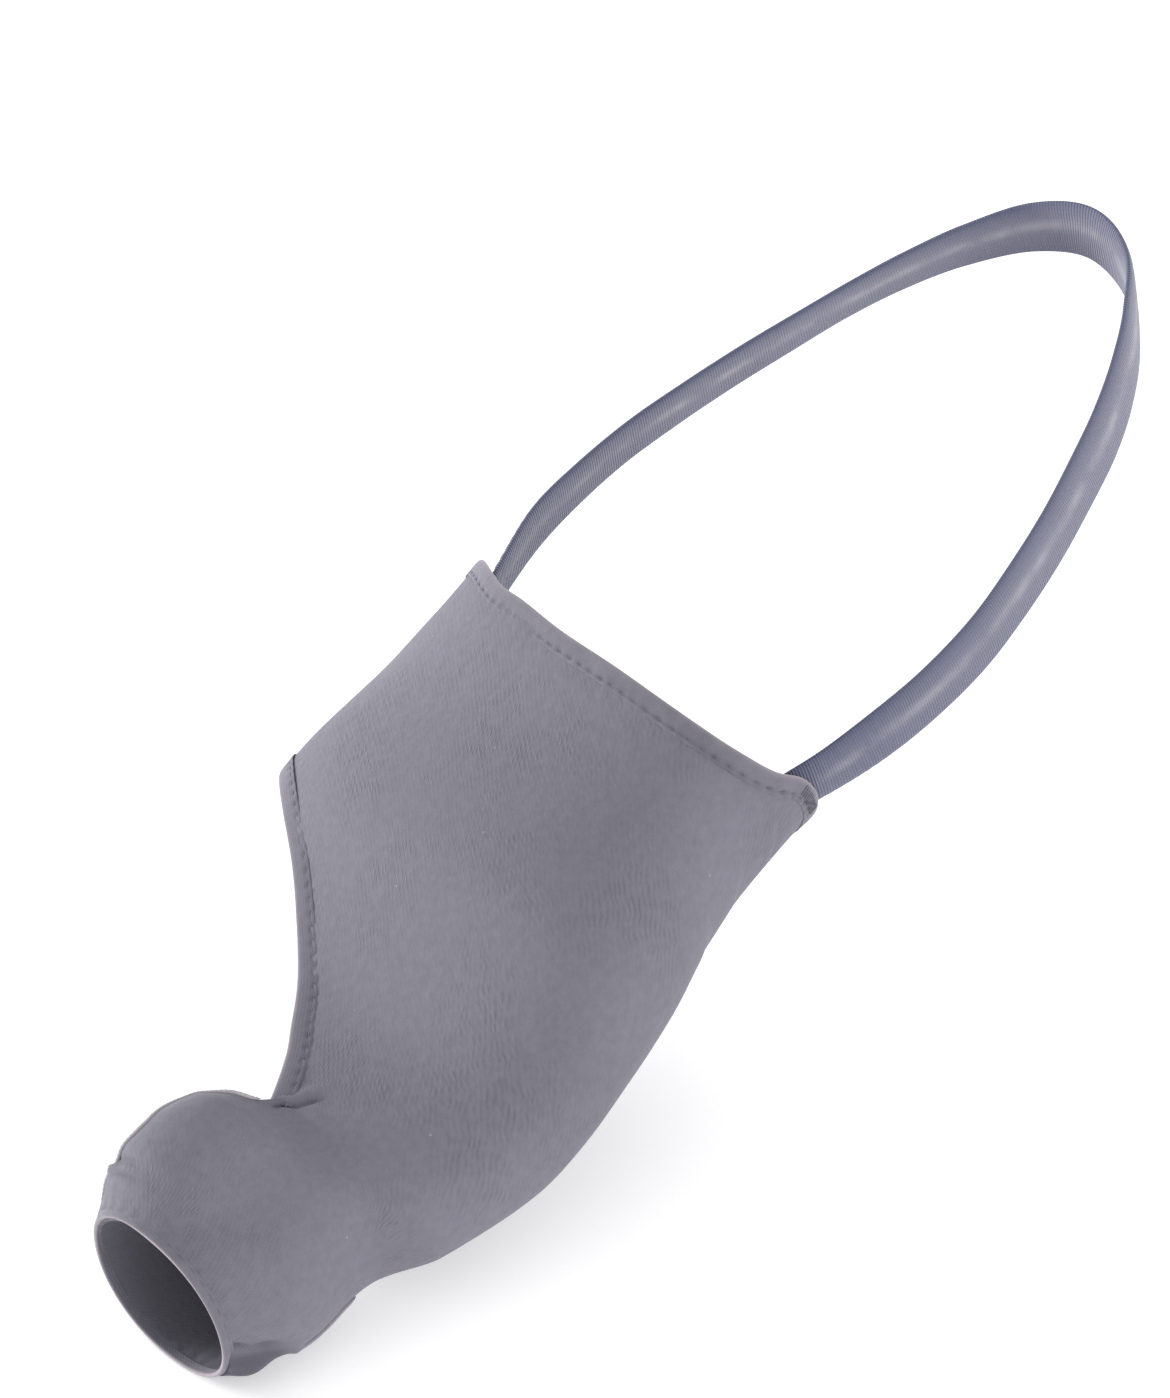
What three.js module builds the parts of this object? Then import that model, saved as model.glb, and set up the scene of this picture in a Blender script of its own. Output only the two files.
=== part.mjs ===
// Bunion corrector of stretch knit for a right foot, in the shape it has when worn.
// Millimetres, +Z up, +X toward the heel, +Y to the lateral side; the origin is the middle of
// the instep opening. The knit body is laid out along its own axis (along: toward the toes,
// side: medial, rise: dorsal) and tilted down toward the toes by SLOPE at the end.
import * as THREE from 'three';

// sleeve
const SLEEVE_LENGTH = 137.8;
const BALL_WIDTH = 90.1;
const INSTEP_HEIGHT = 52.7;
const SLOPE = 25.8;
const WALL = 1.3;
const GAP = 0.36;

// folded bands: width in the surface, thickness across it
const INSTEP_HEM_WIDTH = 3.6;
const TOES_HEM_WIDTH = 2.4;
const BIG_TOE_HEM_WIDTH = 1.8;
const HEM_THICKNESS = 2.2;
const TOES_HEM_END = 0.93;
const LOBE_CLEARANCE = 0.9;
const SEAM_RADIUS = 0.55;

// heel strap
const STRAP_WIDTH = 10;
const STRAP_THICKNESS = 1.8;
const HEEL_LENGTH = 100.3;
const TACK_LENGTH = 7;

// Cross-sections from the instep to the end of the toe stall, each an oval with a lobe on it.
// along, side, width and lobe are shares of the sleeve's length and width, rise and height of
// its height; lean tips the section back, tilt rolls it; the arc from top to under is medial.
const SECTIONS = [
  { along: 0.000, side: 0.000, rise: 0.000, lean: 0.0, width: 0.450, height: 0.500, tilt: 14.3,
    square: 2.3, lobe: 0.000, lobeAngle: 120, top: 68.1, under: -41.7 },
  { along: 0.195, side: -0.022, rise: -0.032, lean: 0.0, width: 0.466, height: 0.419, tilt: 11.4,
    square: 2.3, lobe: 0.000, lobeAngle: 120, top: 60.7, under: -38.6 },
  { along: 0.400, side: 0.033, rise: 0.045, lean: 0.0, width: 0.500, height: 0.385, tilt: 7.3,
    square: 2.3, lobe: 0.000, lobeAngle: 120, top: 56.7, under: -38.5 },
  { along: 0.598, side: 0.051, rise: -0.055, lean: 2.0, width: 0.472, height: 0.322, tilt: 5.7,
    square: 2.3, lobe: 0.000, lobeAngle: 120, top: 46.1, under: -39.1 },
  { along: 0.752, side: 0.089, rise: 0.061, lean: 7.0, width: 0.404, height: 0.295, tilt: 5.4,
    square: 2.2, lobe: 0.019, lobeAngle: 105, top: 73.5, under: -73.6 },
  { along: 0.812, side: 0.244, rise: 0.157, lean: 12.3, width: 0.183, height: 0.280, tilt: 2.4,
    square: 2.1, lobe: 0.108, lobeAngle: 127, top: 116.2, under: -108.1 },
  { along: 0.917, side: 0.257, rise: 0.250, lean: 14.8, width: 0.184, height: 0.277, tilt: -1.6,
    square: 2.1, lobe: 0.130, lobeAngle: 128, top: 142.6, under: -113.0 },
  { along: 1.000, side: 0.220, rise: 0.342, lean: 18.2, width: 0.162, height: 0.274, tilt: 0.4,
    square: 2.1, lobe: 0.010, lobeAngle: 132, top: 131.3, under: -122.7 },
];
// The last sections belong to the toe stall.
const STALL_SECTIONS = 3;

// Edge at the instep: distance along the sleeve by the angle round it (0 medial, 90 dorsal).
const INSTEP_EDGE = [
  { angle: -180, along: 0.044 },
  { angle: -150, along: 0.062 },
  { angle: -120, along: 0.088 },
  { angle: -90, along: 0.100 },
  { angle: -60, along: 0.098 },
  { angle: -30, along: 0.084 },
  { angle: -12, along: 0.068 },
  { angle: 0, along: 0.060 },
  { angle: 9, along: 0.066 },
  { angle: 16, along: 0.086 },
  { angle: 22, along: 0.097 },
  { angle: 32, along: 0.108 },
  { angle: 45, along: 0.112 },
  { angle: 65, along: 0.109 },
  { angle: 95, along: 0.102 },
  { angle: 124, along: 0.088 },
  { angle: 140, along: 0.079 },
  { angle: 165, along: 0.045 },
  { angle: 180, along: 0.044 },
];

// Cut-away edge behind the four small toes: share of the lateral arc from under to top.
const TOES_EDGE = [
  { share: 0.00, along: 0.752 },
  { share: 0.10, along: 0.702 },
  { share: 0.19, along: 0.650 },
  { share: 0.26, along: 0.600 },
  { share: 0.32, along: 0.545 },
  { share: 0.38, along: 0.482 },
  { share: 0.44, along: 0.424 },
  { share: 0.49, along: 0.394 },
  { share: 0.53, along: 0.388 },
  { share: 0.58, along: 0.421 },
  { share: 0.63, along: 0.483 },
  { share: 0.68, along: 0.556 },
  { share: 0.73, along: 0.606 },
  { share: 0.80, along: 0.656 },
  { share: 0.88, along: 0.698 },
  { share: 1.00, along: 0.752 },
];

// Middle line of the strap from inside the medial corner of the hem to the back of the heel.
// run is a share of HEEL_LENGTH, side and rise shares of the sleeve's width and height;
// lean turns the strap's face up, farLean on the lateral half, which is the same with side reversed.
const STRAP_PATH = [
  { run: -0.132, side: 0.369, rise: -0.101, lean: -14, farLean: 10 },
  { run: -0.033, side: 0.416, rise: -0.033, lean: -5, farLean: 8 },
  { run: 0.076, side: 0.452, rise: 0.019, lean: 5, farLean: 5 },
  { run: 0.186, side: 0.453, rise: 0.067, lean: 9, farLean: 9 },
  { run: 0.294, side: 0.446, rise: 0.137, lean: 13, farLean: 13 },
  { run: 0.398, side: 0.431, rise: 0.221, lean: 16, farLean: 16 },
  { run: 0.501, side: 0.408, rise: 0.305, lean: 18, farLean: 18 },
  { run: 0.604, side: 0.373, rise: 0.380, lean: 20, farLean: 20 },
  { run: 0.708, side: 0.327, rise: 0.438, lean: 22, farLean: 22 },
  { run: 0.807, side: 0.269, rise: 0.491, lean: 21, farLean: 21 },
  { run: 0.897, side: 0.201, rise: 0.558, lean: 16, farLean: 16 },
  { run: 0.969, side: 0.118, rise: 0.644, lean: 5, farLean: 5 },
  { run: 1.000, side: 0.000, rise: 0.682, lean: -1, farLean: -1 },
];

// mesh density
const MEDIAL_COLUMNS = 18;
const LATERAL_COLUMNS = 24;
const WEB_COLUMNS = 16;
const FOREFOOT_ROWS = 22;
const STALL_ROWS = 12;
const STRAP_STEPS = 3;

const degrees = Math.PI / 180;
const mix = (a, b, t) => a + (b - a) * t;

// Smooth value of one column of a table at a place given in its key column.
function lookUp(table, key, place, column) {
  const last = table.length - 1;
  let k = 0;
  while (k < last - 1 && table[k + 1][key] < place) {
    k += 1;
  }
  const slope = (i) => {
    const before = table[Math.max(i - 1, 0)];
    const after = table[Math.min(i + 1, last)];
    return (after[column] - before[column]) / (after[key] - before[key]);
  };
  const step = table[k + 1][key] - table[k][key];
  const u = (place - table[k][key]) / step;
  const u2 = u * u;
  const u3 = u2 * u;
  return (2 * u3 - 3 * u2 + 1) * table[k][column] + (u3 - 2 * u2 + u) * step * slope(k)
    + (3 * u2 - 2 * u3) * table[k + 1][column] + (u3 - u2) * step * slope(k + 1);
}

// Takes a place on the sleeve's own axes to the part's frame.
function place(along, side, rise) {
  const c = Math.cos(SLOPE * degrees);
  const s = Math.sin(SLOPE * degrees);
  return new THREE.Vector3(-(along * c + rise * s), -side, -along * s + rise * c);
}

const section = (share, column) => lookUp(SECTIONS, 'along', share, column);

// How far the lobe stands out at an angle, from none to its full reach.
function lobeAt(share, angle) {
  return Math.pow(Math.max(Math.cos((angle - section(share, 'lobeAngle')) * degrees), 0), 5);
}

// Point of the sleeve at a share of its length and an angle round it, with or without the lobe.
function skin(share, angle, withLobe) {
  const turned = (angle - section(share, 'tilt')) * degrees;
  const halfWidth = section(share, 'width') * BALL_WIDTH;
  const halfHeight = section(share, 'height') * INSTEP_HEIGHT;
  const square = section(share, 'square');
  const across = Math.pow(Math.abs(Math.cos(turned)) / halfWidth, square);
  const up = Math.pow(Math.abs(Math.sin(turned)) / halfHeight, square);
  let radius = Math.pow(across + up, -1 / square);
  if (withLobe) {
    radius += Math.max(section(share, 'lobe'), 0) * BALL_WIDTH * lobeAt(share, angle);
  }
  const lean = section(share, 'lean') * degrees;
  const height = radius * Math.sin(angle * degrees);
  return place(
    share * SLEEVE_LENGTH - height * Math.sin(lean),
    section(share, 'side') * BALL_WIDTH + radius * Math.cos(angle * degrees),
    section(share, 'rise') * INSTEP_HEIGHT + height * Math.cos(lean),
  );
}

const medialAngle = (share, t) => mix(section(share, 'top'), section(share, 'under'), t);
const lateralAngle = (share, t) => mix(section(share, 'under'), section(share, 'top') - 360, t);

// Outward normal of the skin.
function skinNormal(share, angle, withLobe) {
  const ahead = skin(share + 0.002, angle, withLobe).sub(skin(share - 0.002, angle, withLobe));
  const round = skin(share, angle + 0.5, withLobe).sub(skin(share, angle - 0.5, withLobe));
  return ahead.cross(round).normalize().negate();
}

const wrap = (angle) => ((angle + 180) % 360 + 360) % 360 - 180;
const instepEdge = (angle) => lookUp(INSTEP_EDGE, 'angle', wrap(angle), 'along');
const toesEdge = (t) => lookUp(TOES_EDGE, 'share', t, 'along');

// Loops of edge points: each has its place, its normal and the way into the cloth.
function edgeLoop(points, closed, inward) {
  return points.map((point, i) => {
    const count = points.length;
    const before = closed ? points[(i + count - 1) % count] : points[Math.max(i - 1, 0)];
    const after = closed ? points[(i + 1) % count] : points[Math.min(i + 1, count - 1)];
    const run = after.at.clone().sub(before.at).normalize();
    const into = run.clone().cross(point.normal).normalize();
    if (into.dot(point.ahead) * inward < 0) {
      into.negate();
    }
    return { ...point, into };
  });
}

// Point where a column of the grid meets an edge; ahead follows the column.
function edgePoint(share, angleOf, t, withLobe) {
  const angle = angleOf(share, t);
  const at = skin(share, angle, withLobe);
  const ahead = skin(share + 0.002, angleOf(share + 0.002, t), withLobe).sub(at).normalize();
  const lobeShare = lobeAt(share, angle);
  return { share, at, ahead, lobeShare, normal: skinNormal(share, angle, withLobe) };
}

// Columns round the cloth: the medial arc, then the lateral arc of the forefoot or of the web.
function columns(lateralCount) {
  const medial = Array.from({ length: MEDIAL_COLUMNS }, (_, c) => (
    { angleOf: medialAngle, t: c / MEDIAL_COLUMNS }));
  const lateral = Array.from({ length: lateralCount }, (_, c) => (
    { angleOf: lateralAngle, t: c / lateralCount }));
  return [...medial, ...lateral];
}

const instepLoop = edgeLoop(columns(LATERAL_COLUMNS).map(({ angleOf, t }) => {
  let share = 0.08;
  for (let i = 0; i < 4; i += 1) {
    share = instepEdge(angleOf(share, t));
  }
  return edgePoint(share, angleOf, t, false);
}), true, 1);

function toesEdgeLoop(shares) {
  const points = shares.map((t) => edgePoint(toesEdge(t), lateralAngle, t, false));
  return edgeLoop(points, false, -1);
}
const toesShares = Array.from({ length: LATERAL_COLUMNS + 1 }, (_, c) => c / LATERAL_COLUMNS);
const toesLoop = toesEdgeLoop(toesShares);
const toesHemLoop = toesEdgeLoop([...toesShares.slice(1, -2), TOES_HEM_END]);

const stallLoop = edgeLoop(
  columns(WEB_COLUMNS).map(({ angleOf, t }) => edgePoint(1, angleOf, t, true)), true, -1);

// Share of the length by which the cloth stops short of an edge to leave room for its band.
const setBack = (point, width) => (
  (width + GAP) / Math.max(Math.abs(point.into.dot(point.ahead)), 0.35) / SLEEVE_LENGTH
);

// Grid of the sleeve: forefoot loops from the instep to the toes' edge, stall loops beyond.
function sleeveGrid(withLobe) {
  const forefoot = [];
  const startOf = (c) => instepLoop[c].share + setBack(instepLoop[c], INSTEP_HEM_WIDTH);
  const toesEnd = toesLoop.map((point) => point.share - setBack(point, TOES_HEM_WIDTH));
  const crotchUnder = toesEnd[0];
  const crotchTop = toesEnd[LATERAL_COLUMNS];
  for (let r = 0; r <= FOREFOOT_ROWS; r += 1) {
    const t = r / FOREFOOT_ROWS;
    const loop = [];
    for (let c = 0; c < MEDIAL_COLUMNS; c += 1) {
      const end = mix(crotchTop, crotchUnder, c / MEDIAL_COLUMNS);
      const share = mix(startOf(c), end, t);
      loop.push(skin(share, medialAngle(share, c / MEDIAL_COLUMNS), withLobe));
    }
    for (let c = 0; c < LATERAL_COLUMNS; c += 1) {
      const share = mix(startOf(MEDIAL_COLUMNS + c), toesEnd[c], t);
      loop.push(skin(share, lateralAngle(share, c / LATERAL_COLUMNS), withLobe));
    }
    forefoot.push(loop);
  }

  const webStart = SECTIONS.at(-STALL_SECTIONS).along;
  const end = stallLoop.map((point) => (
    point.share - setBack(point, BIG_TOE_HEM_WIDTH + LOBE_CLEARANCE * point.lobeShare)));
  const under = forefoot[FOREFOOT_ROWS][MEDIAL_COLUMNS];
  const top = forefoot[FOREFOOT_ROWS][0];
  const crotchRow = (t) => {
    const point = under.clone().lerp(top, t);
    return point.add(place(-2.5 * Math.sin(Math.PI * t), 0, 0));
  };
  const stall = [];
  const webRows = 5;
  for (let r = 1; r <= STALL_ROWS; r += 1) {
    const loop = [];
    for (let c = 0; c < MEDIAL_COLUMNS; c += 1) {
      const start = mix(crotchTop, crotchUnder, c / MEDIAL_COLUMNS);
      const share = r <= webRows ? mix(start, webStart, r / webRows)
        : mix(webStart, end[c], (r - webRows) / (STALL_ROWS - webRows));
      loop.push(skin(share, medialAngle(share, c / MEDIAL_COLUMNS), withLobe));
    }
    for (let c = 0; c < WEB_COLUMNS; c += 1) {
      const t = c / WEB_COLUMNS;
      if (r <= webRows) {
        loop.push(webPoint(t, r / webRows));
      } else {
        const share = mix(webStart, end[MEDIAL_COLUMNS + c], (r - webRows) / (STALL_ROWS - webRows));
        loop.push(skin(share, lateralAngle(share, t), withLobe));
      }
    }
    stall.push(loop);
  }

  // The web between the toes runs from the crotch to the stall, tied to the edges beside it.
  function webPoint(t, w) {
    const blend = (from, to, lead) => {
      const a = (1 - w) * (1 - w);
      return from.clone().multiplyScalar(a).addScaledVector(lead, 2 * w * (1 - w))
        .addScaledVector(to, w * w);
    };
    const patch = (s) => {
      const to = skin(webStart, lateralAngle(webStart, s), withLobe);
      const next = skin(webStart + 0.01, lateralAngle(webStart + 0.01, s), withLobe);
      const lead = to.clone().addScaledVector(next.sub(to).normalize(), -4);
      return blend(crotchRow(s), to, lead);
    };
    const underShare = mix(crotchUnder, webStart, w);
    const topShare = mix(crotchTop, webStart, w);
    const underOff = skin(underShare, lateralAngle(underShare, 0), withLobe).sub(patch(0));
    const topOff = skin(topShare, lateralAngle(topShare, 1), withLobe).sub(patch(1));
    const point = patch(t).addScaledVector(underOff, (1 - t) * (1 - t));
    return point.addScaledVector(topOff, t * t);
  }

  const web = [];
  for (let c = 1; c < WEB_COLUMNS; c += 1) {
    web.push(crotchRow(c / WEB_COLUMNS));
  }
  return { forefoot, stall, web };
}

// Numbers the grid's points once for a layer of the sleeve and gives its rows of numbers.
function numberGrid(grid, first) {
  const points = [];
  const add = (point) => {
    points.push(point);
    return first + points.length - 1;
  };
  const forefoot = grid.forefoot.map((loop) => loop.map(add));
  const web = grid.web.map(add);
  const last = forefoot[FOREFOOT_ROWS];
  const joint = [...last.slice(0, MEDIAL_COLUMNS + 1), ...web];
  const stall = [joint, ...grid.stall.map((loop) => loop.map(add))];
  return { points, forefoot, stall };
}

function quad(faces, a, b, c, d) {
  faces.push([a, b, c], [a, c, d]);
}

function loopFaces(faces, rows, flip) {
  for (let r = 0; r + 1 < rows.length; r += 1) {
    const count = rows[r].length;
    for (let c = 0; c < count; c += 1) {
      const n = (c + 1) % count;
      if (flip) {
        quad(faces, rows[r][c], rows[r + 1][c], rows[r + 1][n], rows[r][n]);
      } else {
        quad(faces, rows[r][c], rows[r][n], rows[r + 1][n], rows[r + 1][c]);
      }
    }
  }
}

function rim(faces, outer, inner) {
  for (let i = 0; i < outer.length; i += 1) {
    const n = (i + 1) % outer.length;
    quad(faces, outer[i], outer[n], inner[n], inner[i]);
  }
}

// Closed mesh facing out from points and triangles.
function solid(name, points, faces, material) {
  const sum = faces.reduce((total, [a, b, c]) => (
    total + points[a].dot(points[b].clone().cross(points[c]))
  ), 0);
  const positions = new Float32Array(points.length * 3);
  points.forEach((point, i) => point.toArray(positions, i * 3));
  const geometry = new THREE.BufferGeometry();
  geometry.setAttribute('position', new THREE.BufferAttribute(positions, 3));
  geometry.setIndex(faces.flatMap(([a, b, c]) => (sum < 0 ? [a, c, b] : [a, b, c])));
  geometry.computeVertexNormals();
  const mesh = new THREE.Mesh(geometry, material);
  mesh.name = name;
  return mesh;
}

// Normals of an open layer, averaged over the faces at each point.
function layerNormals(points, faces) {
  const normals = points.map(() => new THREE.Vector3());
  for (const [a, b, c] of faces) {
    const side = points[b].clone().sub(points[a]);
    const normal = side.cross(points[c].clone().sub(points[a]));
    normals[a].add(normal);
    normals[b].add(normal);
    normals[c].add(normal);
  }
  return normals.map((normal) => normal.normalize());
}

function makeSleeve(material) {
  const outer = numberGrid(sleeveGrid(true), 0);
  const base = numberGrid(sleeveGrid(false), 0);
  const layer = [];
  loopFaces(layer, base.forefoot, false);
  loopFaces(layer, base.stall, false);
  const normals = layerNormals(base.points, layer);
  const middle = base.points[Math.floor(base.points.length / 3)];
  const probe = Math.floor(base.points.length / 3);
  const outward = Math.sign(normals[probe].dot(middle.clone().sub(place(0.3 * SLEEVE_LENGTH, 0, 0))));
  const count = outer.points.length;
  const inner = base.points.map((point, i) => (
    point.clone().addScaledVector(normals[i], -WALL * outward)
  ));
  const shift = (rows) => rows.map((row) => row.map((index) => index + count));
  const innerForefoot = shift(outer.forefoot);
  const innerStall = shift(outer.stall);
  const faces = [];
  loopFaces(faces, outer.forefoot, false);
  loopFaces(faces, outer.stall, false);
  loopFaces(faces, innerForefoot, true);
  loopFaces(faces, innerStall, true);
  rim(faces, [...outer.forefoot[0]].reverse(), [...innerForefoot[0]].reverse());
  rim(faces, outer.stall[STALL_ROWS], innerStall[STALL_ROWS]);
  const toesRim = (forefoot, stall) => {
    const lateral = [...forefoot[FOREFOOT_ROWS].slice(MEDIAL_COLUMNS), forefoot[FOREFOOT_ROWS][0]];
    return [...lateral, ...stall[0].slice(MEDIAL_COLUMNS + 1).reverse()];
  };
  rim(faces, toesRim(outer.forefoot, outer.stall), toesRim(innerForefoot, innerStall));
  return solid('sleeve', [...outer.points, ...inner], faces, material);
}

// Sweeps a closed outline along frames; each frame gives a place and two directions.
function sweep(name, frames, outline, closed, material) {
  const points = [];
  const rows = frames.map(({ at, across, out, scale = 1 }) => outline.map(([w, h]) => {
    points.push(at.clone().addScaledVector(across, w * scale).addScaledVector(out, h * scale));
    return points.length - 1;
  }));
  const faces = [];
  loopFaces(faces, closed ? [...rows, rows[0]] : rows, false);
  if (!closed) {
    const first = rows[0];
    const last = rows[rows.length - 1];
    for (let i = 1; i + 1 < first.length; i += 1) {
      faces.push([first[0], first[i + 1], first[i]], [last[0], last[i], last[i + 1]]);
    }
  }
  return solid(name, points, faces, material);
}

// Folded band: flat on the inside, rounded at the free edge and on its outside.
function hemOutline(width, thickness) {
  const out = (thickness - WALL) / 2;
  const inside = out - thickness;
  return [
    [0.25, inside], [0, inside + thickness * 0.3], [0, out - thickness * 0.3], [0.35, out],
    [width - 0.35, out], [width, out - thickness * 0.3], [width, inside + thickness * 0.2],
    [width - 0.3, inside],
  ];
}

function makeHem(name, loop, closed, width, thickness, material) {
  const frames = loop.map((point) => ({ at: point.at, across: point.into, out: point.normal }));
  return sweep(name, frames, hemOutline(width, thickness), closed, material);
}

function round(radius, count) {
  return Array.from({ length: count }, (_, i) => {
    const angle = 2 * Math.PI * (i / count);
    return [radius * Math.cos(angle), radius * Math.sin(angle)];
  });
}

// Rolled seam lying just clear of the cloth along a list of shares and angles.
function makeSeam(name, stations, material) {
  const at = stations.map(({ share, angle }) => (
    skin(share, angle, true).addScaledVector(skinNormal(share, angle, true), SEAM_RADIUS + GAP)
  ));
  const frames = at.map((point, i) => {
    const run = at[Math.min(i + 1, at.length - 1)].clone().sub(at[Math.max(i - 1, 0)]);
    const out = skinNormal(stations[i].share, stations[i].angle, true);
    const across = run.cross(out).normalize();
    return { at: point, across, out };
  });
  return sweep(name, frames, round(SEAM_RADIUS, 6), false, material);
}

function strapFrames() {
  const far = STRAP_PATH.slice(0, -1).reverse().map((row) => (
    { ...row, side: -row.side, lean: row.farLean }));
  const rows = [...STRAP_PATH, ...far].map((row, i) => ({ ...row, i }));
  const count = (rows.length - 1) * STRAP_STEPS;
  const path = Array.from({ length: count + 1 }, (_, k) => {
    const value = (column) => lookUp(rows, 'i', k / STRAP_STEPS, column);
    const at = new THREE.Vector3(
      value('run') * HEEL_LENGTH, -value('side') * BALL_WIDTH, value('rise') * INSTEP_HEIGHT);
    return { at, lean: value('lean') };
  });
  return path.map((point, i) => {
    const after = path[Math.min(i + 1, path.length - 1)];
    const before = path[Math.max(i - 1, 0)];
    const run = after.at.clone().sub(before.at).normalize();
    const level = run.clone().cross(new THREE.Vector3(0, 0, 1));
    level.z = 0;
    level.normalize();
    const out = level.multiplyScalar(Math.cos(point.lean * degrees));
    out.z = Math.sin(point.lean * degrees);
    out.addScaledVector(run, -out.dot(run)).normalize();
    return { at: point.at, out, across: out.clone().cross(run).normalize() };
  });
}

// Elastic strap: domed on its outside, nearly flat against the skin.
function makeStrap(material) {
  const w = STRAP_WIDTH / 2;
  const t = STRAP_THICKNESS;
  const outline = [
    [-w, -0.1 * t], [-0.72 * w, 0.32 * t], [-0.3 * w, 0.5 * t], [0.3 * w, 0.5 * t],
    [0.72 * w, 0.32 * t], [w, -0.1 * t], [0.8 * w, -0.5 * t], [-0.8 * w, -0.5 * t],
  ];
  return sweep('heel_strap', strapFrames(), outline, false, material);
}

// Short sewn tack across the strap's end on the outside of the instep band.
function makeTack(name, angle, material) {
  const share = instepEdge(angle) + INSTEP_HEM_WIDTH * 0.55 / SLEEVE_LENGTH;
  const count = 6;
  const reach = TACK_LENGTH / (0.45 * BALL_WIDTH) / degrees;
  const lift = (HEM_THICKNESS - WALL) / 2 + GAP + 0.45;
  const frames = Array.from({ length: count + 1 }, (_, i) => {
    const spot = angle + reach * (i / count - 0.5);
    const out = skinNormal(share, spot, false);
    const at = skin(share, spot, false).addScaledVector(out, lift);
    const across = skin(share + 0.01, spot, false).sub(skin(share, spot, false)).normalize();
    return { at, out, across };
  });
  return sweep(name, frames, round(0.45, 6), false, material);
}

const knit = new THREE.MeshStandardMaterial({ color: 0x84828d, roughness: 0.9, metalness: 0 });
const fold = new THREE.MeshStandardMaterial({ color: 0x74727e, roughness: 0.9, metalness: 0 });
const thread = new THREE.MeshStandardMaterial({ color: 0x9c9aa6, roughness: 0.8, metalness: 0 });
const elastic = new THREE.MeshStandardMaterial({ color: 0x83839a, roughness: 0.6, metalness: 0 });

const lobeStations = Array.from({ length: 15 }, (_, i) => {
  const share = mix(0.772, 0.975, i / 14);
  return { share, angle: section(share, 'top') };
});
const toeStations = Array.from({ length: 13 }, (_, i) => {
  const share = mix(0.84, 0.975, i / 12);
  return { share, angle: -38 };
});

const part = new THREE.Group();
part.name = 'bunion_corrector';
part.add(
  makeSleeve(knit),
  makeHem('instep_hem', instepLoop, true, INSTEP_HEM_WIDTH, HEM_THICKNESS, fold),
  makeHem('toes_hem', toesHemLoop, false, TOES_HEM_WIDTH, HEM_THICKNESS, fold),
  makeHem('big_toe_hem', stallLoop, true, BIG_TOE_HEM_WIDTH, HEM_THICKNESS * 0.85, fold),
  makeSeam('lobe_edge_seam', lobeStations, thread),
  makeSeam('toe_seam', toeStations, thread),
  makeStrap(elastic),
  makeTack('strap_tack_medial', 2, thread),
  makeTack('strap_tack_lateral', 178, thread),
);

export default part;
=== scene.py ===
import math

import bpy
import numpy as np
from mathutils import Matrix, Vector


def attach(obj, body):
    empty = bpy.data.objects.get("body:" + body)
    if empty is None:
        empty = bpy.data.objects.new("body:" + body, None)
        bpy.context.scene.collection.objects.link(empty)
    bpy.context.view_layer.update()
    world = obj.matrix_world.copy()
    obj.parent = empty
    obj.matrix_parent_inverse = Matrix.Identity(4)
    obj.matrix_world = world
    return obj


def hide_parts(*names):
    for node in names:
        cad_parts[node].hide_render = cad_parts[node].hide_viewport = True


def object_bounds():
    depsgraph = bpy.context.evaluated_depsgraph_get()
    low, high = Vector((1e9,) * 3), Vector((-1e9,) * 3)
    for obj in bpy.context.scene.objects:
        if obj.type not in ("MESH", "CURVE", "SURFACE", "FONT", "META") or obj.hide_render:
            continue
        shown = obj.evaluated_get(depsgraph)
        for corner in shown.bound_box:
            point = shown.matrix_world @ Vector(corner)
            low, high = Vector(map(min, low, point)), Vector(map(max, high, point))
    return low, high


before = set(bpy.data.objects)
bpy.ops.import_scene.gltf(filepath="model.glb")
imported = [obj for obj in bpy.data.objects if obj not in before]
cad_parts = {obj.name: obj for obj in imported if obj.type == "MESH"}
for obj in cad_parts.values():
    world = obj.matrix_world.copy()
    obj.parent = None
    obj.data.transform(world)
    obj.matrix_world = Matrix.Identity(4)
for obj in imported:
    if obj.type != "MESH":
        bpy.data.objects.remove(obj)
cad_low, cad_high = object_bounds()


# The sleeve: one piece of fine grey nylon stretch knit, sewn to a wide tube that runs on into a
# narrow stall, with a soft rounded pad worked into it beside the stall. It is drawn on its own
# axis, from the edge at the instep to the end of the stall, in millimetres.
MM = 0.001
SLEEVE_LENGTH = 137.8
BALL_WIDTH = 90.1
INSTEP_HEIGHT = 52.7
SLOPE = math.radians(25.8)
CLOTH_THICKNESS = 0.55
HEM_SLOT = 0.42

# Shares of the length, the width or the height, and angles in degrees round the section.
SECTION_COLUMNS = ("along", "side", "rise", "lean", "width", "height", "tilt", "square",
                   "lobe_angle", "top", "under")
SECTIONS = np.array([
    (0.000, 0.000, 0.000, 0.0, 0.450, 0.500, 14.3, 2.3, 120, 68.1, -41.7),
    (0.195, -0.022, -0.032, 0.0, 0.466, 0.419, 11.4, 2.3, 120, 60.7, -38.6),
    (0.400, 0.033, 0.045, 0.0, 0.500, 0.385, 7.3, 2.3, 120, 56.7, -38.5),
    (0.598, 0.051, -0.055, 2.0, 0.472, 0.322, 5.7, 2.3, 120, 46.1, -39.1),
    (0.752, 0.089, 0.061, 7.0, 0.404, 0.295, 5.4, 2.2, 100, 73.5, -73.6),
    (0.812, 0.244, 0.157, 12.3, 0.183, 0.280, 2.4, 2.1, 127, 129.5, -108.1),
    (0.917, 0.257, 0.250, 14.8, 0.184, 0.277, -1.6, 2.1, 128, 130.0, -113.0),
    (1.000, 0.220, 0.342, 18.2, 0.162, 0.274, 0.4, 2.1, 132, 148.0, -122.7),
])
STALL_START = 0.812

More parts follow.
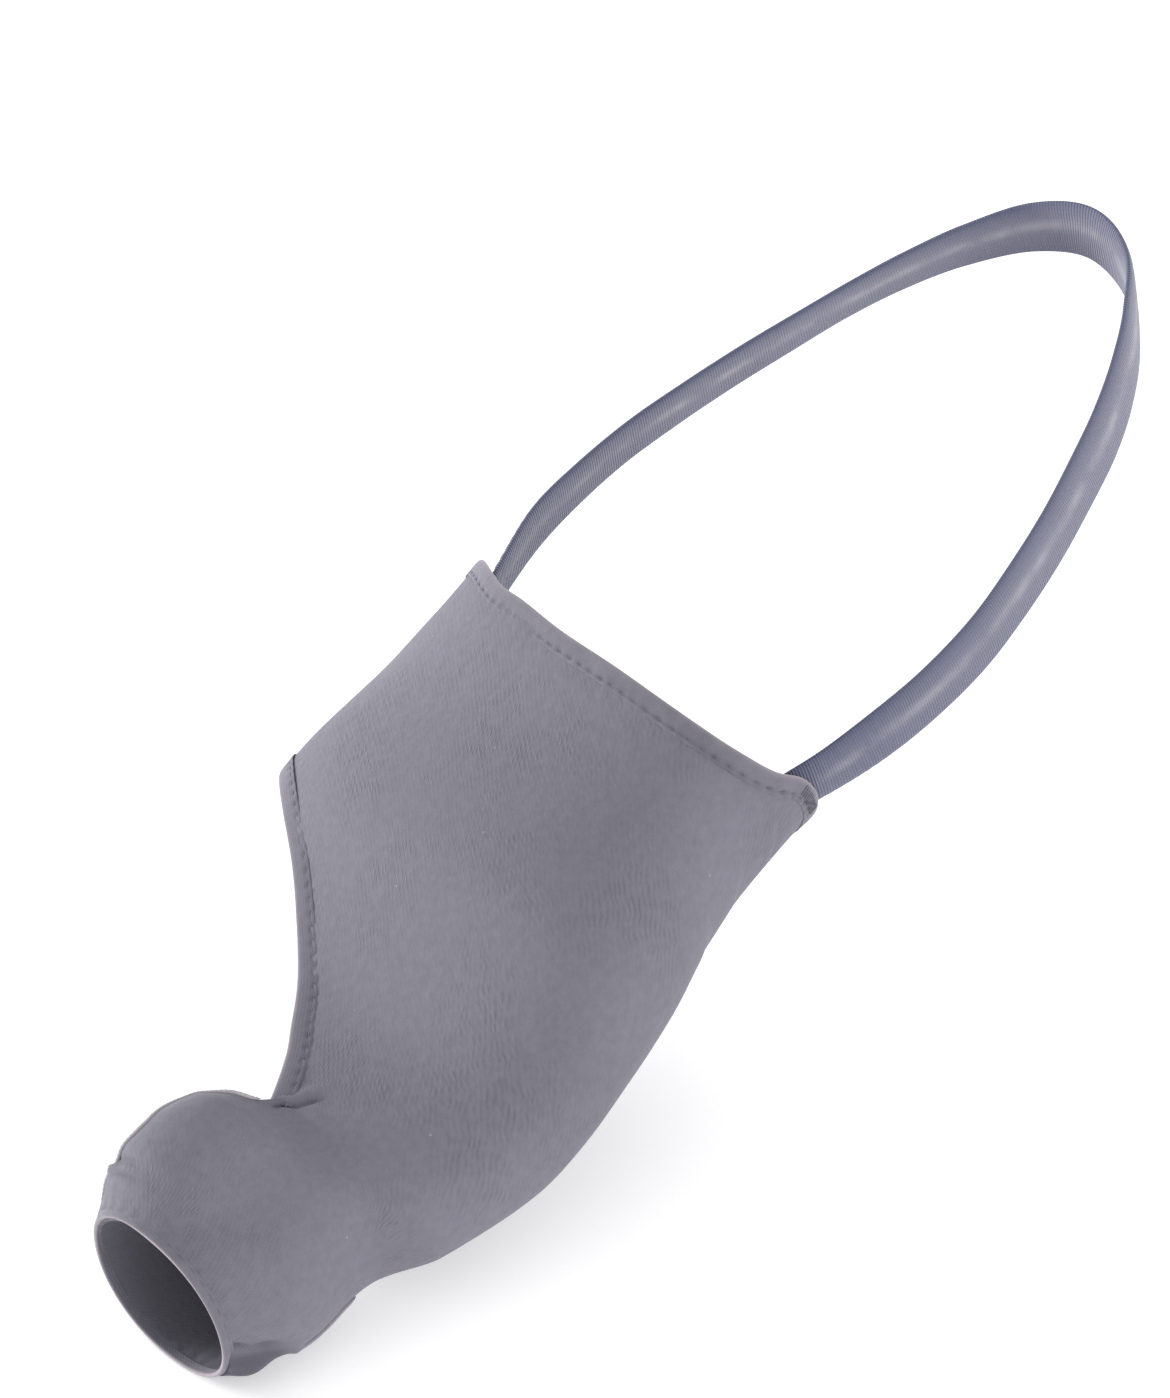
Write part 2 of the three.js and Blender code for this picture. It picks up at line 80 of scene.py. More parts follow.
# How far the pad stands out from the stall, as a share of the width: share of the length, reach.
LOBE_REACH = np.array([
    (0.735, 0.000), (0.752, 0.007), (0.780, 0.024), (0.800, 0.057), (0.812, 0.081), (0.830, 0.111),
    (0.850, 0.126), (0.870, 0.130), (0.885, 0.128), (0.900, 0.122), (0.917, 0.115), (0.935, 0.104),
    (0.950, 0.082), (0.965, 0.066), (0.985, 0.028), (1.000, 0.004),
])

# Where the edge at the instep lies: angle round the section, share of the length.
INSTEP_EDGE = np.array([
    (-180, 0.044), (-150, 0.062), (-120, 0.088), (-90, 0.100), (-60, 0.098), (-30, 0.084),
    (-12, 0.068), (0, 0.060), (9, 0.066), (16, 0.086), (22, 0.097), (32, 0.108), (45, 0.112),
    (65, 0.109), (95, 0.102), (124, 0.088), (140, 0.079), (165, 0.045), (180, 0.044),
])

# Where the cut-away edge beside the stall lies: share of the lateral arc, share of the length.
TOES_EDGE = np.array([
    (0.00, 0.762), (0.10, 0.702), (0.19, 0.650), (0.26, 0.600), (0.32, 0.545), (0.38, 0.482),
    (0.44, 0.424), (0.49, 0.394), (0.53, 0.388), (0.58, 0.421), (0.63, 0.483), (0.68, 0.556),
    (0.73, 0.606), (0.80, 0.656), (0.88, 0.698), (1.00, 0.766),
])
INSTEP_HEM_WIDTH = 3.6
TOES_HEM_WIDTH = 4.0
TOE_HEM_WIDTH = 1.8

MEDIAL_COLUMNS = 96
LATERAL_COLUMNS = 120
WEB_COLUMNS = 72
FOREFOOT_ROWS = 120
WEB_ROWS = 28
STALL_ROWS = 72
CROTCH_BOW = 2.5
WEB_LEAD = 2.5


def smooth_table(table, at):
    """Rows of a table at places given in its first column, on a smooth curve through them."""
    keys = table[:, 0]
    last = len(keys) - 1
    slopes = np.empty_like(table)
    for k in range(last + 1):
        before, after = max(k - 1, 0), min(k + 1, last)
        slopes[k] = (table[after] - table[before]) / (keys[after] - keys[before])
    at = np.asarray(at, float)
    row = np.clip(np.searchsorted(keys, at) - 1, 0, last - 1)
    step = (keys[row + 1] - keys[row])[..., None]
    u = (at - keys[row])[..., None] / step
    return ((2 * u**3 - 3 * u**2 + 1) * table[row] + (u**3 - 2 * u**2 + u) * step * slopes[row]
            + (3 * u**2 - 2 * u**3) * table[row + 1] + (u**3 - u**2) * step * slopes[row + 1])


def section(share, column):
    return smooth_table(SECTIONS, share)[..., SECTION_COLUMNS.index(column)]


def place(along, side, rise):
    """Takes a place on the sleeve's own axes to the part's frame."""
    along, side, rise = np.broadcast_arrays(along, side, rise)
    c, s = math.cos(SLOPE), math.sin(SLOPE)
    return np.stack([-(along * c + rise * s), -side, -along * s + rise * c], -1)


def skin(share, angle, lobe=1.0):
    """Points of the cloth's outside at shares of the length and angles round the section."""
    share, angle = np.broadcast_arrays(np.asarray(share, float), np.asarray(angle, float))
    values = np.moveaxis(smooth_table(SECTIONS, share), -1, 0)
    _, side, rise, lean, width, height, tilt, square, lobe_angle = values[:9]
    turned = np.radians(angle - tilt)
    across = (np.abs(np.cos(turned)) / (width * BALL_WIDTH)) ** square
    upward = (np.abs(np.sin(turned)) / (height * INSTEP_HEIGHT)) ** square
    radius = (across + upward) ** (-1 / square)
    reach = smooth_table(LOBE_REACH, np.maximum(share, LOBE_REACH[0, 0]))[..., 1]
    bulge = np.maximum(np.cos(np.radians(angle - lobe_angle)), 0) ** 5
    radius = radius + lobe * np.maximum(reach, 0) * BALL_WIDTH * bulge
    lift = radius * np.sin(np.radians(angle))
    lean = np.radians(lean)
    return place(share * SLEEVE_LENGTH - lift * np.sin(lean),
                 side * BALL_WIDTH + radius * np.cos(np.radians(angle)),
                 rise * INSTEP_HEIGHT + lift * np.cos(lean))


def medial_angle(share, t):
    top, under = section(share, "top"), section(share, "under")
    return top + (under - top) * t


def lateral_angle(share, t):
    top, under = section(share, "top"), section(share, "under")
    return under + (top - 360 - under) * t


def unit(vectors):
    return vectors / np.maximum(np.linalg.norm(vectors, axis=-1, keepdims=True), 1e-12)


def way_along(line):
    """The way from the start of a line of points to each of them."""
    return np.concatenate([[0], np.cumsum(np.linalg.norm(np.diff(line, axis=0), axis=1))])


def skin_normal(share, angle, lobe=1.0):
    ahead = skin(share + 0.002, angle, lobe) - skin(share - 0.002, angle, lobe)
    around = skin(share, angle + 0.5, lobe) - skin(share, angle - 0.5, lobe)
    return -unit(np.cross(ahead, around))


def edge_line(share, angle_of, t, lobe, closed, inward):
    """An edge of the cloth: its points, their normals and the way from the edge into the cloth."""
    angle = angle_of(share, t)
    points = skin(share, angle, lobe)
    normals = skin_normal(share, angle, lobe)
    ahead = unit(skin(share + 0.002, angle_of(share + 0.002, t), lobe) - points)
    if closed:
        run = np.roll(points, -1, 0) - np.roll(points, 1, 0)
    else:
        run = np.gradient(points, axis=0)
    into = unit(np.cross(unit(run), normals))
    into *= np.sign(np.sum(into * ahead, -1, keepdims=True) * inward)
    slant = np.maximum(np.abs(np.sum(into * ahead, -1)), 0.35)
    return {"share": share, "points": points, "normals": normals, "into": into, "slant": slant}


def both_angles(share, t):
    """Angle of the forefoot's columns: t runs to 1 over the medial arc, then to 2 over the rest."""
    return np.where(t < 1, medial_angle(share, t), lateral_angle(share, t - 1))


medial_t = np.arange(MEDIAL_COLUMNS) / MEDIAL_COLUMNS
lateral_t = np.arange(LATERAL_COLUMNS) / LATERAL_COLUMNS
web_t = np.arange(WEB_COLUMNS) / WEB_COLUMNS

forefoot_t = np.concatenate([medial_t, 1 + lateral_t])
instep_share = np.full(len(forefoot_t), 0.08)
for _ in range(4):
    turned = (both_angles(instep_share, forefoot_t) + 180) % 360 - 180
    instep_share = smooth_table(INSTEP_EDGE, turned)[:, 1]
instep_line = edge_line(instep_share, both_angles, forefoot_t, 0.0, True, 1)

toes_t = np.linspace(0, 1, LATERAL_COLUMNS + 1)
toes_share = smooth_table(TOES_EDGE, toes_t)[:, 1]
toes_line = edge_line(toes_share, lateral_angle, toes_t, 0.0, False, -1)

stall_t = np.concatenate([medial_t, 1 + web_t])
toe_line = edge_line(np.ones(len(stall_t)), both_angles, stall_t, 1.0, True, -1)


def set_back(line, width):
    """Share of the length from an edge to where the cloth ends inside the edge's fold."""
    return (HEM_SLOT * width + CLOTH_THICKNESS / 2) / line["slant"] / SLEEVE_LENGTH


def sleeve_grid(lobe):
    """Points of the cloth's outside, and the angle and share of each for its texture."""
    start = instep_line["share"] + set_back(instep_line, INSTEP_HEM_WIDTH)
    toes_end = toes_line["share"] - set_back(toes_line, TOES_HEM_WIDTH)
    crotch_under, crotch_top = toes_end[0], toes_end[-1]
    medial_end = crotch_top + (crotch_under - crotch_top) * medial_t
    end = np.concatenate([medial_end, toes_end[:-1]])
    share = start + (end - start) * np.linspace(0, 1, FOREFOOT_ROWS + 1)[:, None]
    angle = both_angles(share, forefoot_t)
    forefoot = skin(share, angle, lobe)

    under, top = forefoot[-1, MEDIAL_COLUMNS], forefoot[-1, 0]

    def crotch(t):
        t = np.asarray(t, float)[..., None]
        return under + (top - under) * t + place(-CROTCH_BOW * np.sin(math.pi * t[..., 0]), 0, 0)

    def patch(t, w):
        to = skin(STALL_START, lateral_angle(STALL_START, t), lobe)
        beyond = skin(STALL_START + 0.01, lateral_angle(STALL_START + 0.01, t), lobe)
        lead = to - unit(beyond - to) * WEB_LEAD
        return crotch(t) * (1 - w) ** 2 + lead * 2 * w * (1 - w) + to * w * w

    w = (np.arange(1, WEB_ROWS + 1) / WEB_ROWS)[:, None]
    under_share = crotch_under + (STALL_START - crotch_under) * w
    top_share = crotch_top + (STALL_START - crotch_top) * w
    w3 = w[..., None]
    under_off = skin(under_share, lateral_angle(under_share, 0), lobe) - patch(np.zeros((1, 1)), w3)
    top_off = skin(top_share, lateral_angle(top_share, 1), lobe) - patch(np.ones((1, 1)), w3)
    t3 = web_t[None, :, None]
    web = patch(web_t[None], w3) + under_off * (1 - t3) ** 2 + top_off * t3**2
    web_share = under_share + (top_share - under_share) * web_t
    web_angle = lateral_angle(web_share, web_t)

    medial_share = medial_end + (STALL_START - medial_end) * w
    near_stall = skin(medial_share, medial_angle(medial_share, medial_t), lobe)
    stop = toe_line["share"] - set_back(toe_line, TOE_HEM_WIDTH)
    far = (np.arange(1, STALL_ROWS - WEB_ROWS + 1) / (STALL_ROWS - WEB_ROWS))[:, None]
    far_share = STALL_START + (stop - STALL_START) * far
    far_angle = both_angles(far_share, stall_t)
    near = np.concatenate([near_stall, web], 1)
    near_share = np.concatenate([medial_share, web_share], 1)
    near_angle = np.concatenate([medial_angle(medial_share, medial_t), web_angle], 1)

    row_t = web_t[1:]
    points = [forefoot.reshape(-1, 3), crotch(row_t), near.reshape(-1, 3),
              skin(far_share, far_angle, lobe).reshape(-1, 3)]
    row_share = crotch_under + (crotch_top - crotch_under) * row_t
    angles = [angle.ravel(), lateral_angle(row_share, row_t), near_angle.ravel(), far_angle.ravel()]
    shares = [share.ravel(), row_share, near_share.ravel(), far_share.ravel()]
    return np.concatenate(points), np.concatenate(angles), np.concatenate(shares)


def loop_quads(rows):
    """Quads between closed rows of point numbers."""
    ahead = np.roll(rows, -1, 1)
    return np.stack([rows[:-1], ahead[:-1], ahead[1:], rows[1:]], -1).reshape(-1, 4)


def point_normals(points, quads):
    """Normals of a layer, averaged over the faces at each point."""
    corner = points[quads]
    face = np.cross(corner[:, 2] - corner[:, 0], corner[:, 3] - corner[:, 1])
    total = np.zeros_like(points)
    for k in range(4):
        np.add.at(total, quads[:, k], face)
    return unit(total)


def outward(points, quads):
    """The quads, turned over where the closed mesh that they make is inside out."""
    a, b, c, d = (points[quads[:, k]] for k in range(4))
    volume = np.sum(a * np.cross(b, c)) + np.sum(a * np.cross(c, d))
    return quads if volume > 0 else quads[:, ::-1]


def in_scene(name, data):
    """A new object of the given data, linked to the scene."""
    new = bpy.data.objects.new(name, data)
    bpy.context.scene.collection.objects.link(new)
    return new


def cloth_object(name, points, faces, corner_uv, materials, material_index=None, shade=None):
    """A smooth mesh object from points in millimetres, with UV maps and a share of shade at each point."""
    mesh = bpy.data.meshes.new(name)
    mesh.from_pydata((points * MM).tolist(), [], faces)
    for uv_name, uv in corner_uv.items():
        layer = mesh.uv_layers.new(name=uv_name)
        layer.data.foreach_set("uv", uv.astype(np.float32).ravel())
    if shade is not None:
        attribute = mesh.attributes.new("shade", "FLOAT", "POINT")
        attribute.data.foreach_set("value", shade.astype(np.float32))
    for material in materials:
        mesh.materials.append(material)
    if material_index is not None:
        mesh.polygons.foreach_set("material_index", material_index.astype(np.int32))
    mesh.polygons.foreach_set("use_smooth", np.ones(len(faces), bool))
    mesh.update()
    return in_scene(name, mesh)


# Soft folds in the worn cloth: from one share and angle to another, the depth and the half width
# in millimetres. A negative depth is a crease, which gets painted shade where it is sharp. They lie
# at the crotch, on the pad's edge, under the hem's medial corner and under the stall.
SHARP_FOLD = 0.8
FOLDS = np.array([
    (0.768, 79, 0.744, 60, -0.75, 0.55),
    (0.751, 63, 0.714, 52, -0.65, 0.70),
    (0.744, 66, 0.696, 53, 0.40, 0.95),
    (0.738, 52, 0.700, 40, -0.22, 2.2),
    (0.956, 141, 0.956, 132, 0.85, 0.85),
    (0.948, 136, 0.950, 116, -0.55, 0.55),
    (0.963, 134, 0.962, 113, -0.55, 0.55),
    (0.112, 9, 0.150, -6, -0.55, 1.1),
    (0.126, 8, 0.172, -6, 0.45, 1.6),
    (0.186, 6, 0.214, -8, -0.50, 1.8),
    (0.262, 4, 0.285, -8, -0.40, 2.0),
    (0.120, 24, 0.205, 15, -0.16, 2.0),
    (0.995, -2, 0.972, -8, -0.60, 0.55),
    (0.972, -8, 0.944, -11, -0.55, 0.60),
    (0.990, -28, 0.950, -42, 1.50, 3.2),
    (0.925, -24, 0.925, -40, 0.70, 0.9),
])


def fold_relief(points):
    """Height in millimetres that the folds add at each point, and the painted shade of their sharp creases.
    """
    relief = np.zeros(len(points))
    crease_shade = np.zeros(len(points))
    for share_a, angle_a, share_b, angle_b, depth, half_width in FOLDS:
        t = np.linspace(0, 1, 25)
        path = skin(share_a + (share_b - share_a) * t, angle_a + (angle_b - angle_a) * t)
        gap = np.linalg.norm(points[:, None] - path[None], axis=-1)
        taper = np.sin(math.pi * np.clip(0.12 + 0.88 * t[gap.argmin(1)], 0, 1))
        bell = np.exp(-((gap.min(1) / half_width) ** 2)) * taper
        relief += depth * bell
        # Sharp creases get painted shade.
        if half_width < SHARP_FOLD:
            crease_shade += max(-depth, 0) * bell
    return relief, crease_shade


def slow_waves(points, size):
    """Gentle unevenness between -1 and 1, of waves about as long as size in millimetres."""
    x, y, z = points.T * (2 * math.pi / size)
    return (np.sin(0.9 * x + 0.4 * y + 1.3) * np.sin(0.3 * x - 0.8 * z + 0.5)
            + np.sin(0.5 * y + 0.9 * z + 2.1) * np.sin(0.7 * x + 0.6 * y - 0.2 * z)) / 2


BROAD_WAVE, FINE_WAVE = (34, 0.22), (12, 0.06)
outer, cloth_angle, cloth_share = sleeve_grid(1.0)
base = sleeve_grid(0.0)[0]
around = MEDIAL_COLUMNS + LATERAL_COLUMNS
forefoot_rows = np.arange((FOREFOOT_ROWS + 1) * around).reshape(-1, around)
web_first = forefoot_rows.size
web_row = np.arange(web_first, web_first + WEB_COLUMNS - 1)
stall_first = web_first + WEB_COLUMNS - 1
stall_rows = stall_first + np.arange(STALL_ROWS * (MEDIAL_COLUMNS + WEB_COLUMNS))
stall_rows = stall_rows.reshape(STALL_ROWS, -1)
joint_row = np.concatenate([forefoot_rows[-1, :MEDIAL_COLUMNS + 1], web_row])
stall_rows = np.vstack([joint_row, stall_rows])
layer_quads = np.concatenate([loop_quads(forefoot_rows), loop_quads(stall_rows)])
if np.mean(np.sum(point_normals(base, layer_quads)[:around] * instep_line["normals"], -1)) < 0:
    layer_quads = layer_quads[:, ::-1]
cloth_normals = point_normals(base, layer_quads)
relief, crease_shade = fold_relief(outer)
for wave_size, wave_height in (BROAD_WAVE, FINE_WAVE):
    relief = relief + wave_height * slow_waves(outer, wave_size)
relief = relief[:, None]
outer = outer + point_normals(outer, layer_quads) * relief
inner = base + cloth_normals * (relief - CLOTH_THICKNESS)


def rounded_rim(points, outer_row, inner_row, inside_row, first):
    """Points and rows that close the cloth's edge with a rounded turn."""
    middle = (points[outer_row] + points[inner_row]) / 2
    half = (points[outer_row] - points[inner_row]) / 2
    ahead = unit(points[outer_row] - points[inside_row])
    ahead = ahead * np.linalg.norm(half, axis=-1, keepdims=True)
    turns = [math.pi / 4, math.pi / 2, 3 * math.pi / 4]
    added = [middle + half * math.cos(a) + ahead * math.sin(a) for a in turns]
    count = len(outer_row)
    rows = [outer_row, *(first + k * count + np.arange(count) for k in range(3)), inner_row]
    return np.concatenate(added), np.stack(rows)


layer_count = len(outer)
sleeve_points = np.concatenate([outer, inner])
toes_rim_row = np.concatenate([
    forefoot_rows[-1, MEDIAL_COLUMNS:], forefoot_rows[-1, :1], web_row[::-1]])
toes_inside = np.concatenate([forefoot_rows[-2, MEDIAL_COLUMNS:], forefoot_rows[-2, :1],
                              stall_rows[1, MEDIAL_COLUMNS + 1:][::-1]])
sleeve_quads = [layer_quads, layer_quads[:, ::-1] + layer_count]
for rim_row, inside in ((forefoot_rows[0], forefoot_rows[1]), (stall_rows[-1], stall_rows[-2]),
                        (toes_rim_row, toes_inside)):
    rim_points, rim_rows = rounded_rim(
        sleeve_points, rim_row, rim_row + layer_count, inside, len(sleeve_points))
    sleeve_points = np.concatenate([sleeve_points, rim_points])
    sleeve_quads.append(loop_quads(rim_rows))


def matched_rims(layers, rims):
    """Turns each rim so that its edges run against those of the layers that it joins."""
    edges = set(map(tuple, np.concatenate([layers[:, [k, (k + 1) % 4]] for k in range(4)]).tolist()))
    matched = []
    for rim in rims:
        shared = sum(tuple(edge) in edges for edge in rim[:, [0, 1]].tolist())
        matched.append(rim[:, ::-1] if shared else rim)
    return matched


both_layers = np.concatenate(sleeve_quads[:2])
sleeve_quads = np.concatenate([both_layers, *matched_rims(both_layers, sleeve_quads[2:])])
sleeve_quads = outward(sleeve_points, sleeve_quads)


PUCKER_PITCH = 2.6
POINTS_AT_ONCE = 8000


def nearest_along(points, lines, reach):
    """For each point the way along the nearest of the lines, its distance and the loop's length.

    The way is counted so that a whole number of puckers goes round a closed line.
    """
    run = np.zeros(len(points))
    gap = np.full(len(points), reach, float)
    loop = np.zeros(len(points))
    for line, closed in lines:
        line = np.concatenate([line, line[:1]]) if closed else line
        length = way_along(line)
        length *= round(length[-1] / PUCKER_PITCH) * PUCKER_PITCH / length[-1]
        for first in range(0, len(points), POINTS_AT_ONCE):
            block = slice(first, first + POINTS_AT_ONCE)
            distance = np.linalg.norm(points[block, None] - line[None], axis=-1)
            near = distance.min(1)
            closer = near < gap[block]
            run[block] = np.where(closer, length[distance.argmin(1)], run[block])
            gap[block] = np.where(closer, near, gap[block])
            loop[block] = np.where(closer, length[-1] if closed else 0, loop[block])
    return run, gap, loop


def unwound(corners, turn):
    """Values at the corners of faces, with those past the join of a loop moved on by one turn."""
    behind = corners.max(1, keepdims=True) - corners > turn / 2
    return np.where(behind & (turn > 0), corners + turn, corners)


# The knit: fine slanting ribs of tiny V-shaped loops that show only in places, with painted shade in
# the grooves between them, a cloudy tone, a few bright fibre ends, and painted shade near the stitched edges
# and in the creases.
KNIT_COLOUR = (0.121, 0.117, 0.142, 1)
KNIT_LIGHT = (0.155, 0.150, 0.181, 1)
# Painted shade colour: the knit darkened in its grooves, near stitched edges, in creases and on the sole
# side.
KNIT_SHADE_COLOUR = (0.062, 0.059, 0.077, 1)
LINING_COLOUR = (0.115, 0.110, 0.134, 1)
FIBRE_COLOUR = (0.34, 0.33, 0.37, 1)
WALES_ROUND = 240
WALE_WIDTH = 0.9
COURSE_HEIGHT = 1.7
KNIT_SHEAR = 0.62
FLECK_CELLS = 620.0
FLECK_SIZE = 0.11
FLECK_RARITY = 0.988
SOLE_SHADE = 2.2
SOLE_ANGLE, SOLE_SPREAD = -46, 30
SOLE_START, SOLE_FADE = 0.925, 0.035
EDGE_REACH = 60


def give(tree, socket, value):
    """Gives an input its value, or links it to the socket given."""
    if isinstance(value, bpy.types.NodeSocket):
        tree.links.new(value, socket)
    else:
        socket.default_value = value


def add_node(tree, kind, inputs=None, **settings):
    node = tree.nodes.new(kind)
    for key, value in settings.items():
        setattr(node, key, value)
    for key, value in (inputs or {}).items():
        give(tree, node.inputs[key], value)
    return node


class Nodes:
    """Short ways to add nodes to a material and to link them."""

    def __init__(self, name):
        self.material = bpy.data.materials.new(name)
        self.material.use_nodes = True
        self.tree = self.material.node_tree
        self.tree.nodes.clear()
        self.place = self.add("ShaderNodeTexCoord").outputs["Object"]

    def add(self, kind, inputs=None, **settings):
        return add_node(self.tree, kind, inputs, **settings)

    def uv(self, name):
        """The two coordinates of a UV map."""
        uv = self.add("ShaderNodeUVMap", uv_map=name)
        return self.add("ShaderNodeSeparateXYZ", {0: uv.outputs[0]}).outputs[:2]

    def shade(self):
        return self.add("ShaderNodeAttribute", attribute_name="shade").outputs["Fac"]

    def math(self, operation, a, b=0.0, c=0.0):
        node = self.add("ShaderNodeMath", {0: a, 1: b, 2: c}, operation=operation)
        return node.outputs[0]

    def times(self, a, b):
        return self.math("MULTIPLY", a, b)

    def plus(self, a, b):
        return self.math("ADD", a, b)

    def scaled(self, value, factor, offset):
        return self.math("MULTIPLY_ADD", value, factor, offset)

    def wave(self, value, length):
        return self.math("SINE", self.times(value, 2 * math.pi / length))

    def decay(self, value, rate):
        """A share that falls from 1 as the value grows from 0."""
        return self.math("EXPONENT", self.times(value, -rate))

    def blend(self, share, a, b):
        node = self.add("ShaderNodeMix", {"Factor": share}, data_type="RGBA")
        for socket, value in (("A", a), ("B", b)):
            target = [s for s in node.inputs if s.name == socket and s.type == "RGBA"][0]
            give(self.tree, target, value)
        return [s for s in node.outputs if s.type == "RGBA"][0]

    def ramp(self, value, low, high):
        node = self.add("ShaderNodeMapRange", {"Value": value, "From Min": low, "From Max": high})
        return node.outputs["Result"]

    def noise(self, scale, detail=2.0):
        node = self.add("ShaderNodeTexNoise", {"Vector": self.place, "Scale": scale, "Detail": detail})
        return node.outputs[0]

    def finish(self, colour, height, roughness, sheen):
        bump = self.add("ShaderNodeBump", {"Height": height, "Strength": 1.0, "Distance": MM})
        shader = self.add("ShaderNodeBsdfPrincipled", {
            "Base Color": colour, "Roughness": roughness, "Normal": bump.outputs[0],
            "Sheen Weight": sheen, "Sheen Roughness": 0.45, "Sheen Tint": (0.93, 0.91, 1.0, 1),
            "Specular IOR Level": 0.25})
        self.add("ShaderNodeOutputMaterial", {"Surface": shader.outputs[0]})
        return self.material


def knit_material(name, colour, light, sheen, rib_depth, fibres):
    nodes = Nodes(name)
    across, along = nodes.uv("cloth")
    edge_run, edge_gap = nodes.uv("edge")
    shade = nodes.shade()

    drift = nodes.times(nodes.noise(230.0), 2.4)
    sheared = nodes.plus(nodes.scaled(along, KNIT_SHEAR, across), drift)
    wale = nodes.math("DIVIDE", sheared, WALE_WIDTH)
    legs = nodes.math("ABSOLUTE", nodes.math("SINE", nodes.times(wale, math.pi)))
    course = nodes.scaled(along, 1 / COURSE_HEIGHT, nodes.times(wale, 0.5))
    loops = nodes.wave(course, 1)
    loop_height = nodes.times(legs, nodes.scaled(loops, 0.45, 0.55))
    patches = nodes.times(nodes.ramp(nodes.noise(60.0), 0.44, 0.68),
                          nodes.ramp(nodes.noise(420.0), 0.35, 0.62))
    clear = nodes.scaled(patches, rib_depth, rib_depth * 0.2)
    rib_height = nodes.times(loop_height, clear)

    pucker = nodes.wave(edge_run, PUCKER_PITCH)
    fade = nodes.decay(edge_gap, 0.38)
    pucker_height = nodes.times(nodes.times(pucker, fade), 0.10)
    soft = nodes.times(nodes.noise(520.0, 5.0), 0.15)
    height = nodes.plus(nodes.plus(rib_height, pucker_height), soft)

    cells = nodes.add("ShaderNodeTexVoronoi", {"Vector": nodes.place, "Scale": FLECK_CELLS})
    near = nodes.math("LESS_THAN", cells.outputs["Distance"], FLECK_SIZE)
    picked = nodes.add("ShaderNodeSeparateColor", {0: cells.outputs["Color"]}).outputs[0]
    rare = nodes.math("GREATER_THAN", picked, FLECK_RARITY)
    flecks = nodes.times(nodes.times(near, rare), fibres)
    mottle = nodes.ramp(nodes.noise(700.0, 5.0), 0.3, 0.72)
    broad = nodes.ramp(nodes.noise(24.0), 0.3, 0.7)
    cloudy = nodes.scaled(broad, 0.45, nodes.times(mottle, 0.55))
    tone = nodes.blend(cloudy, colour, light)
    # Painted shade in the grooves between the loops.
    groove_shade = nodes.times(nodes.math("SUBTRACT", 1.0, legs), nodes.scaled(patches, 0.36, 0.03))
    ribbed = nodes.blend(groove_shade, tone, KNIT_SHADE_COLOUR)
    # Painted shade near the stitched edges, added to the painted shade of the creases and sole side from the
    # shade attribute.
    edge_shade = nodes.times(nodes.decay(edge_gap, 0.30), 0.34)
    darker = nodes.math("MINIMUM", nodes.plus(edge_shade, shade), 1.0)
    shaded = nodes.blend(darker, ribbed, KNIT_SHADE_COLOUR)
    flecked = nodes.blend(flecks, shaded, FIBRE_COLOUR)
    return nodes.finish(flecked, height, 0.80, sheen)


knit = knit_material("grey_stretch_knit", KNIT_COLOUR, KNIT_LIGHT, 0.09, 0.070, 0.5)
lining = knit_material("knit_back", LINING_COLOUR, KNIT_COLOUR, 0.06, 0.02, 0.0)

wale_turn = WALES_ROUND * WALE_WIDTH / 360
rim_source = np.concatenate([np.tile(row, 3) for row in (forefoot_rows[0], stall_rows[-1], toes_rim_row)])
source = np.concatenate([np.arange(layer_count), np.arange(layer_count), rim_source])
turn = cloth_angle[source]
run = cloth_share[source] * SLEEVE_LENGTH
corner_turn = unwound(turn[sleeve_quads], 360.0)
cloth_uv = np.stack([corner_turn * wale_turn, run[sleeve_quads]], -1)
edge_run, edge_gap, edge_loop = nearest_along(sleeve_points, [
    (instep_line["points"], True), (toes_line["points"], False), (toe_line["points"], True)], EDGE_REACH)
corner_loop = edge_loop[sleeve_quads].max(1, keepdims=True)
edge_uv = np.stack([unwound(edge_run[sleeve_quads], corner_loop), edge_gap[sleeve_quads]], -1)
lined = np.all((sleeve_quads >= layer_count) & (sleeve_quads < 2 * layer_count), 1)

# Painted shade: the sole side of the stall, which faces the floor, and the creases are darkened.
sole_shade_mask = np.exp(-(((cloth_angle - SOLE_ANGLE) / SOLE_SPREAD) ** 4))
sole_shade_mask = sole_shade_mask * np.clip((cloth_share - SOLE_START) / SOLE_FADE, 0, 1)
outer_shade = np.clip(crease_shade + SOLE_SHADE * sole_shade_mask, 0, 0.95)
shade = np.concatenate([outer_shade, np.zeros(layer_count), outer_shade[rim_source]])
sleeve = cloth_object("knit_sleeve", sleeve_points, sleeve_quads.tolist(),
                      {"cloth": cloth_uv, "edge": edge_uv}, [knit, lining], lined, shade)
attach(sleeve, "root")
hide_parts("sleeve")


# The hem at the instep: the edge of the knit folded over both of its faces and sewn down with one
# line of stitches, which draws it into small puckers; its fold has a painted highlight and its stitches
# painted shade.
HEM_COLOUR = (0.112, 0.108, 0.134, 1)
HEM_LIGHT = (0.138, 0.133, 0.162, 1)
# Painted highlight colour for the folded edge of a hem.
FOLD_HIGHLIGHT_COLOUR = (0.300, 0.262, 0.285, 1)
HEM_STEP = 0.3
STITCH_LINE = 0.80
PUCKER_DEPTH = 0.10

# Outline of the fold: share of its width in from the edge, and height over the cloth in
# millimetres. It goes round the outside, the fold and the inside, and back along the slot.
FOLD_OUTLINE = np.array([
    (1.00, 0.02), (0.98, 0.10), (0.94, 0.17), (0.87, 0.19), (0.80, 0.08), (0.73, 0.17),
    (0.62, 0.24), (0.48, 0.27), (0.34, 0.28), (0.22, 0.27), (0.12, 0.22), (0.05, 0.10),
    (0.01, -0.06), (0.00, -0.27), (0.01, -0.48), (0.05, -0.64), (0.12, -0.76), (0.22, -0.82),
    (0.40, -0.83), (0.65, -0.82), (0.86, -0.80), (0.95, -0.73), (1.00, -0.63), (0.97, -0.58),
    (0.70, -0.57), (0.40, -0.55), (0.36, -0.42), (0.36, -0.12), (0.40, 0.00), (0.70, 0.01),
    (0.97, 0.00),
])


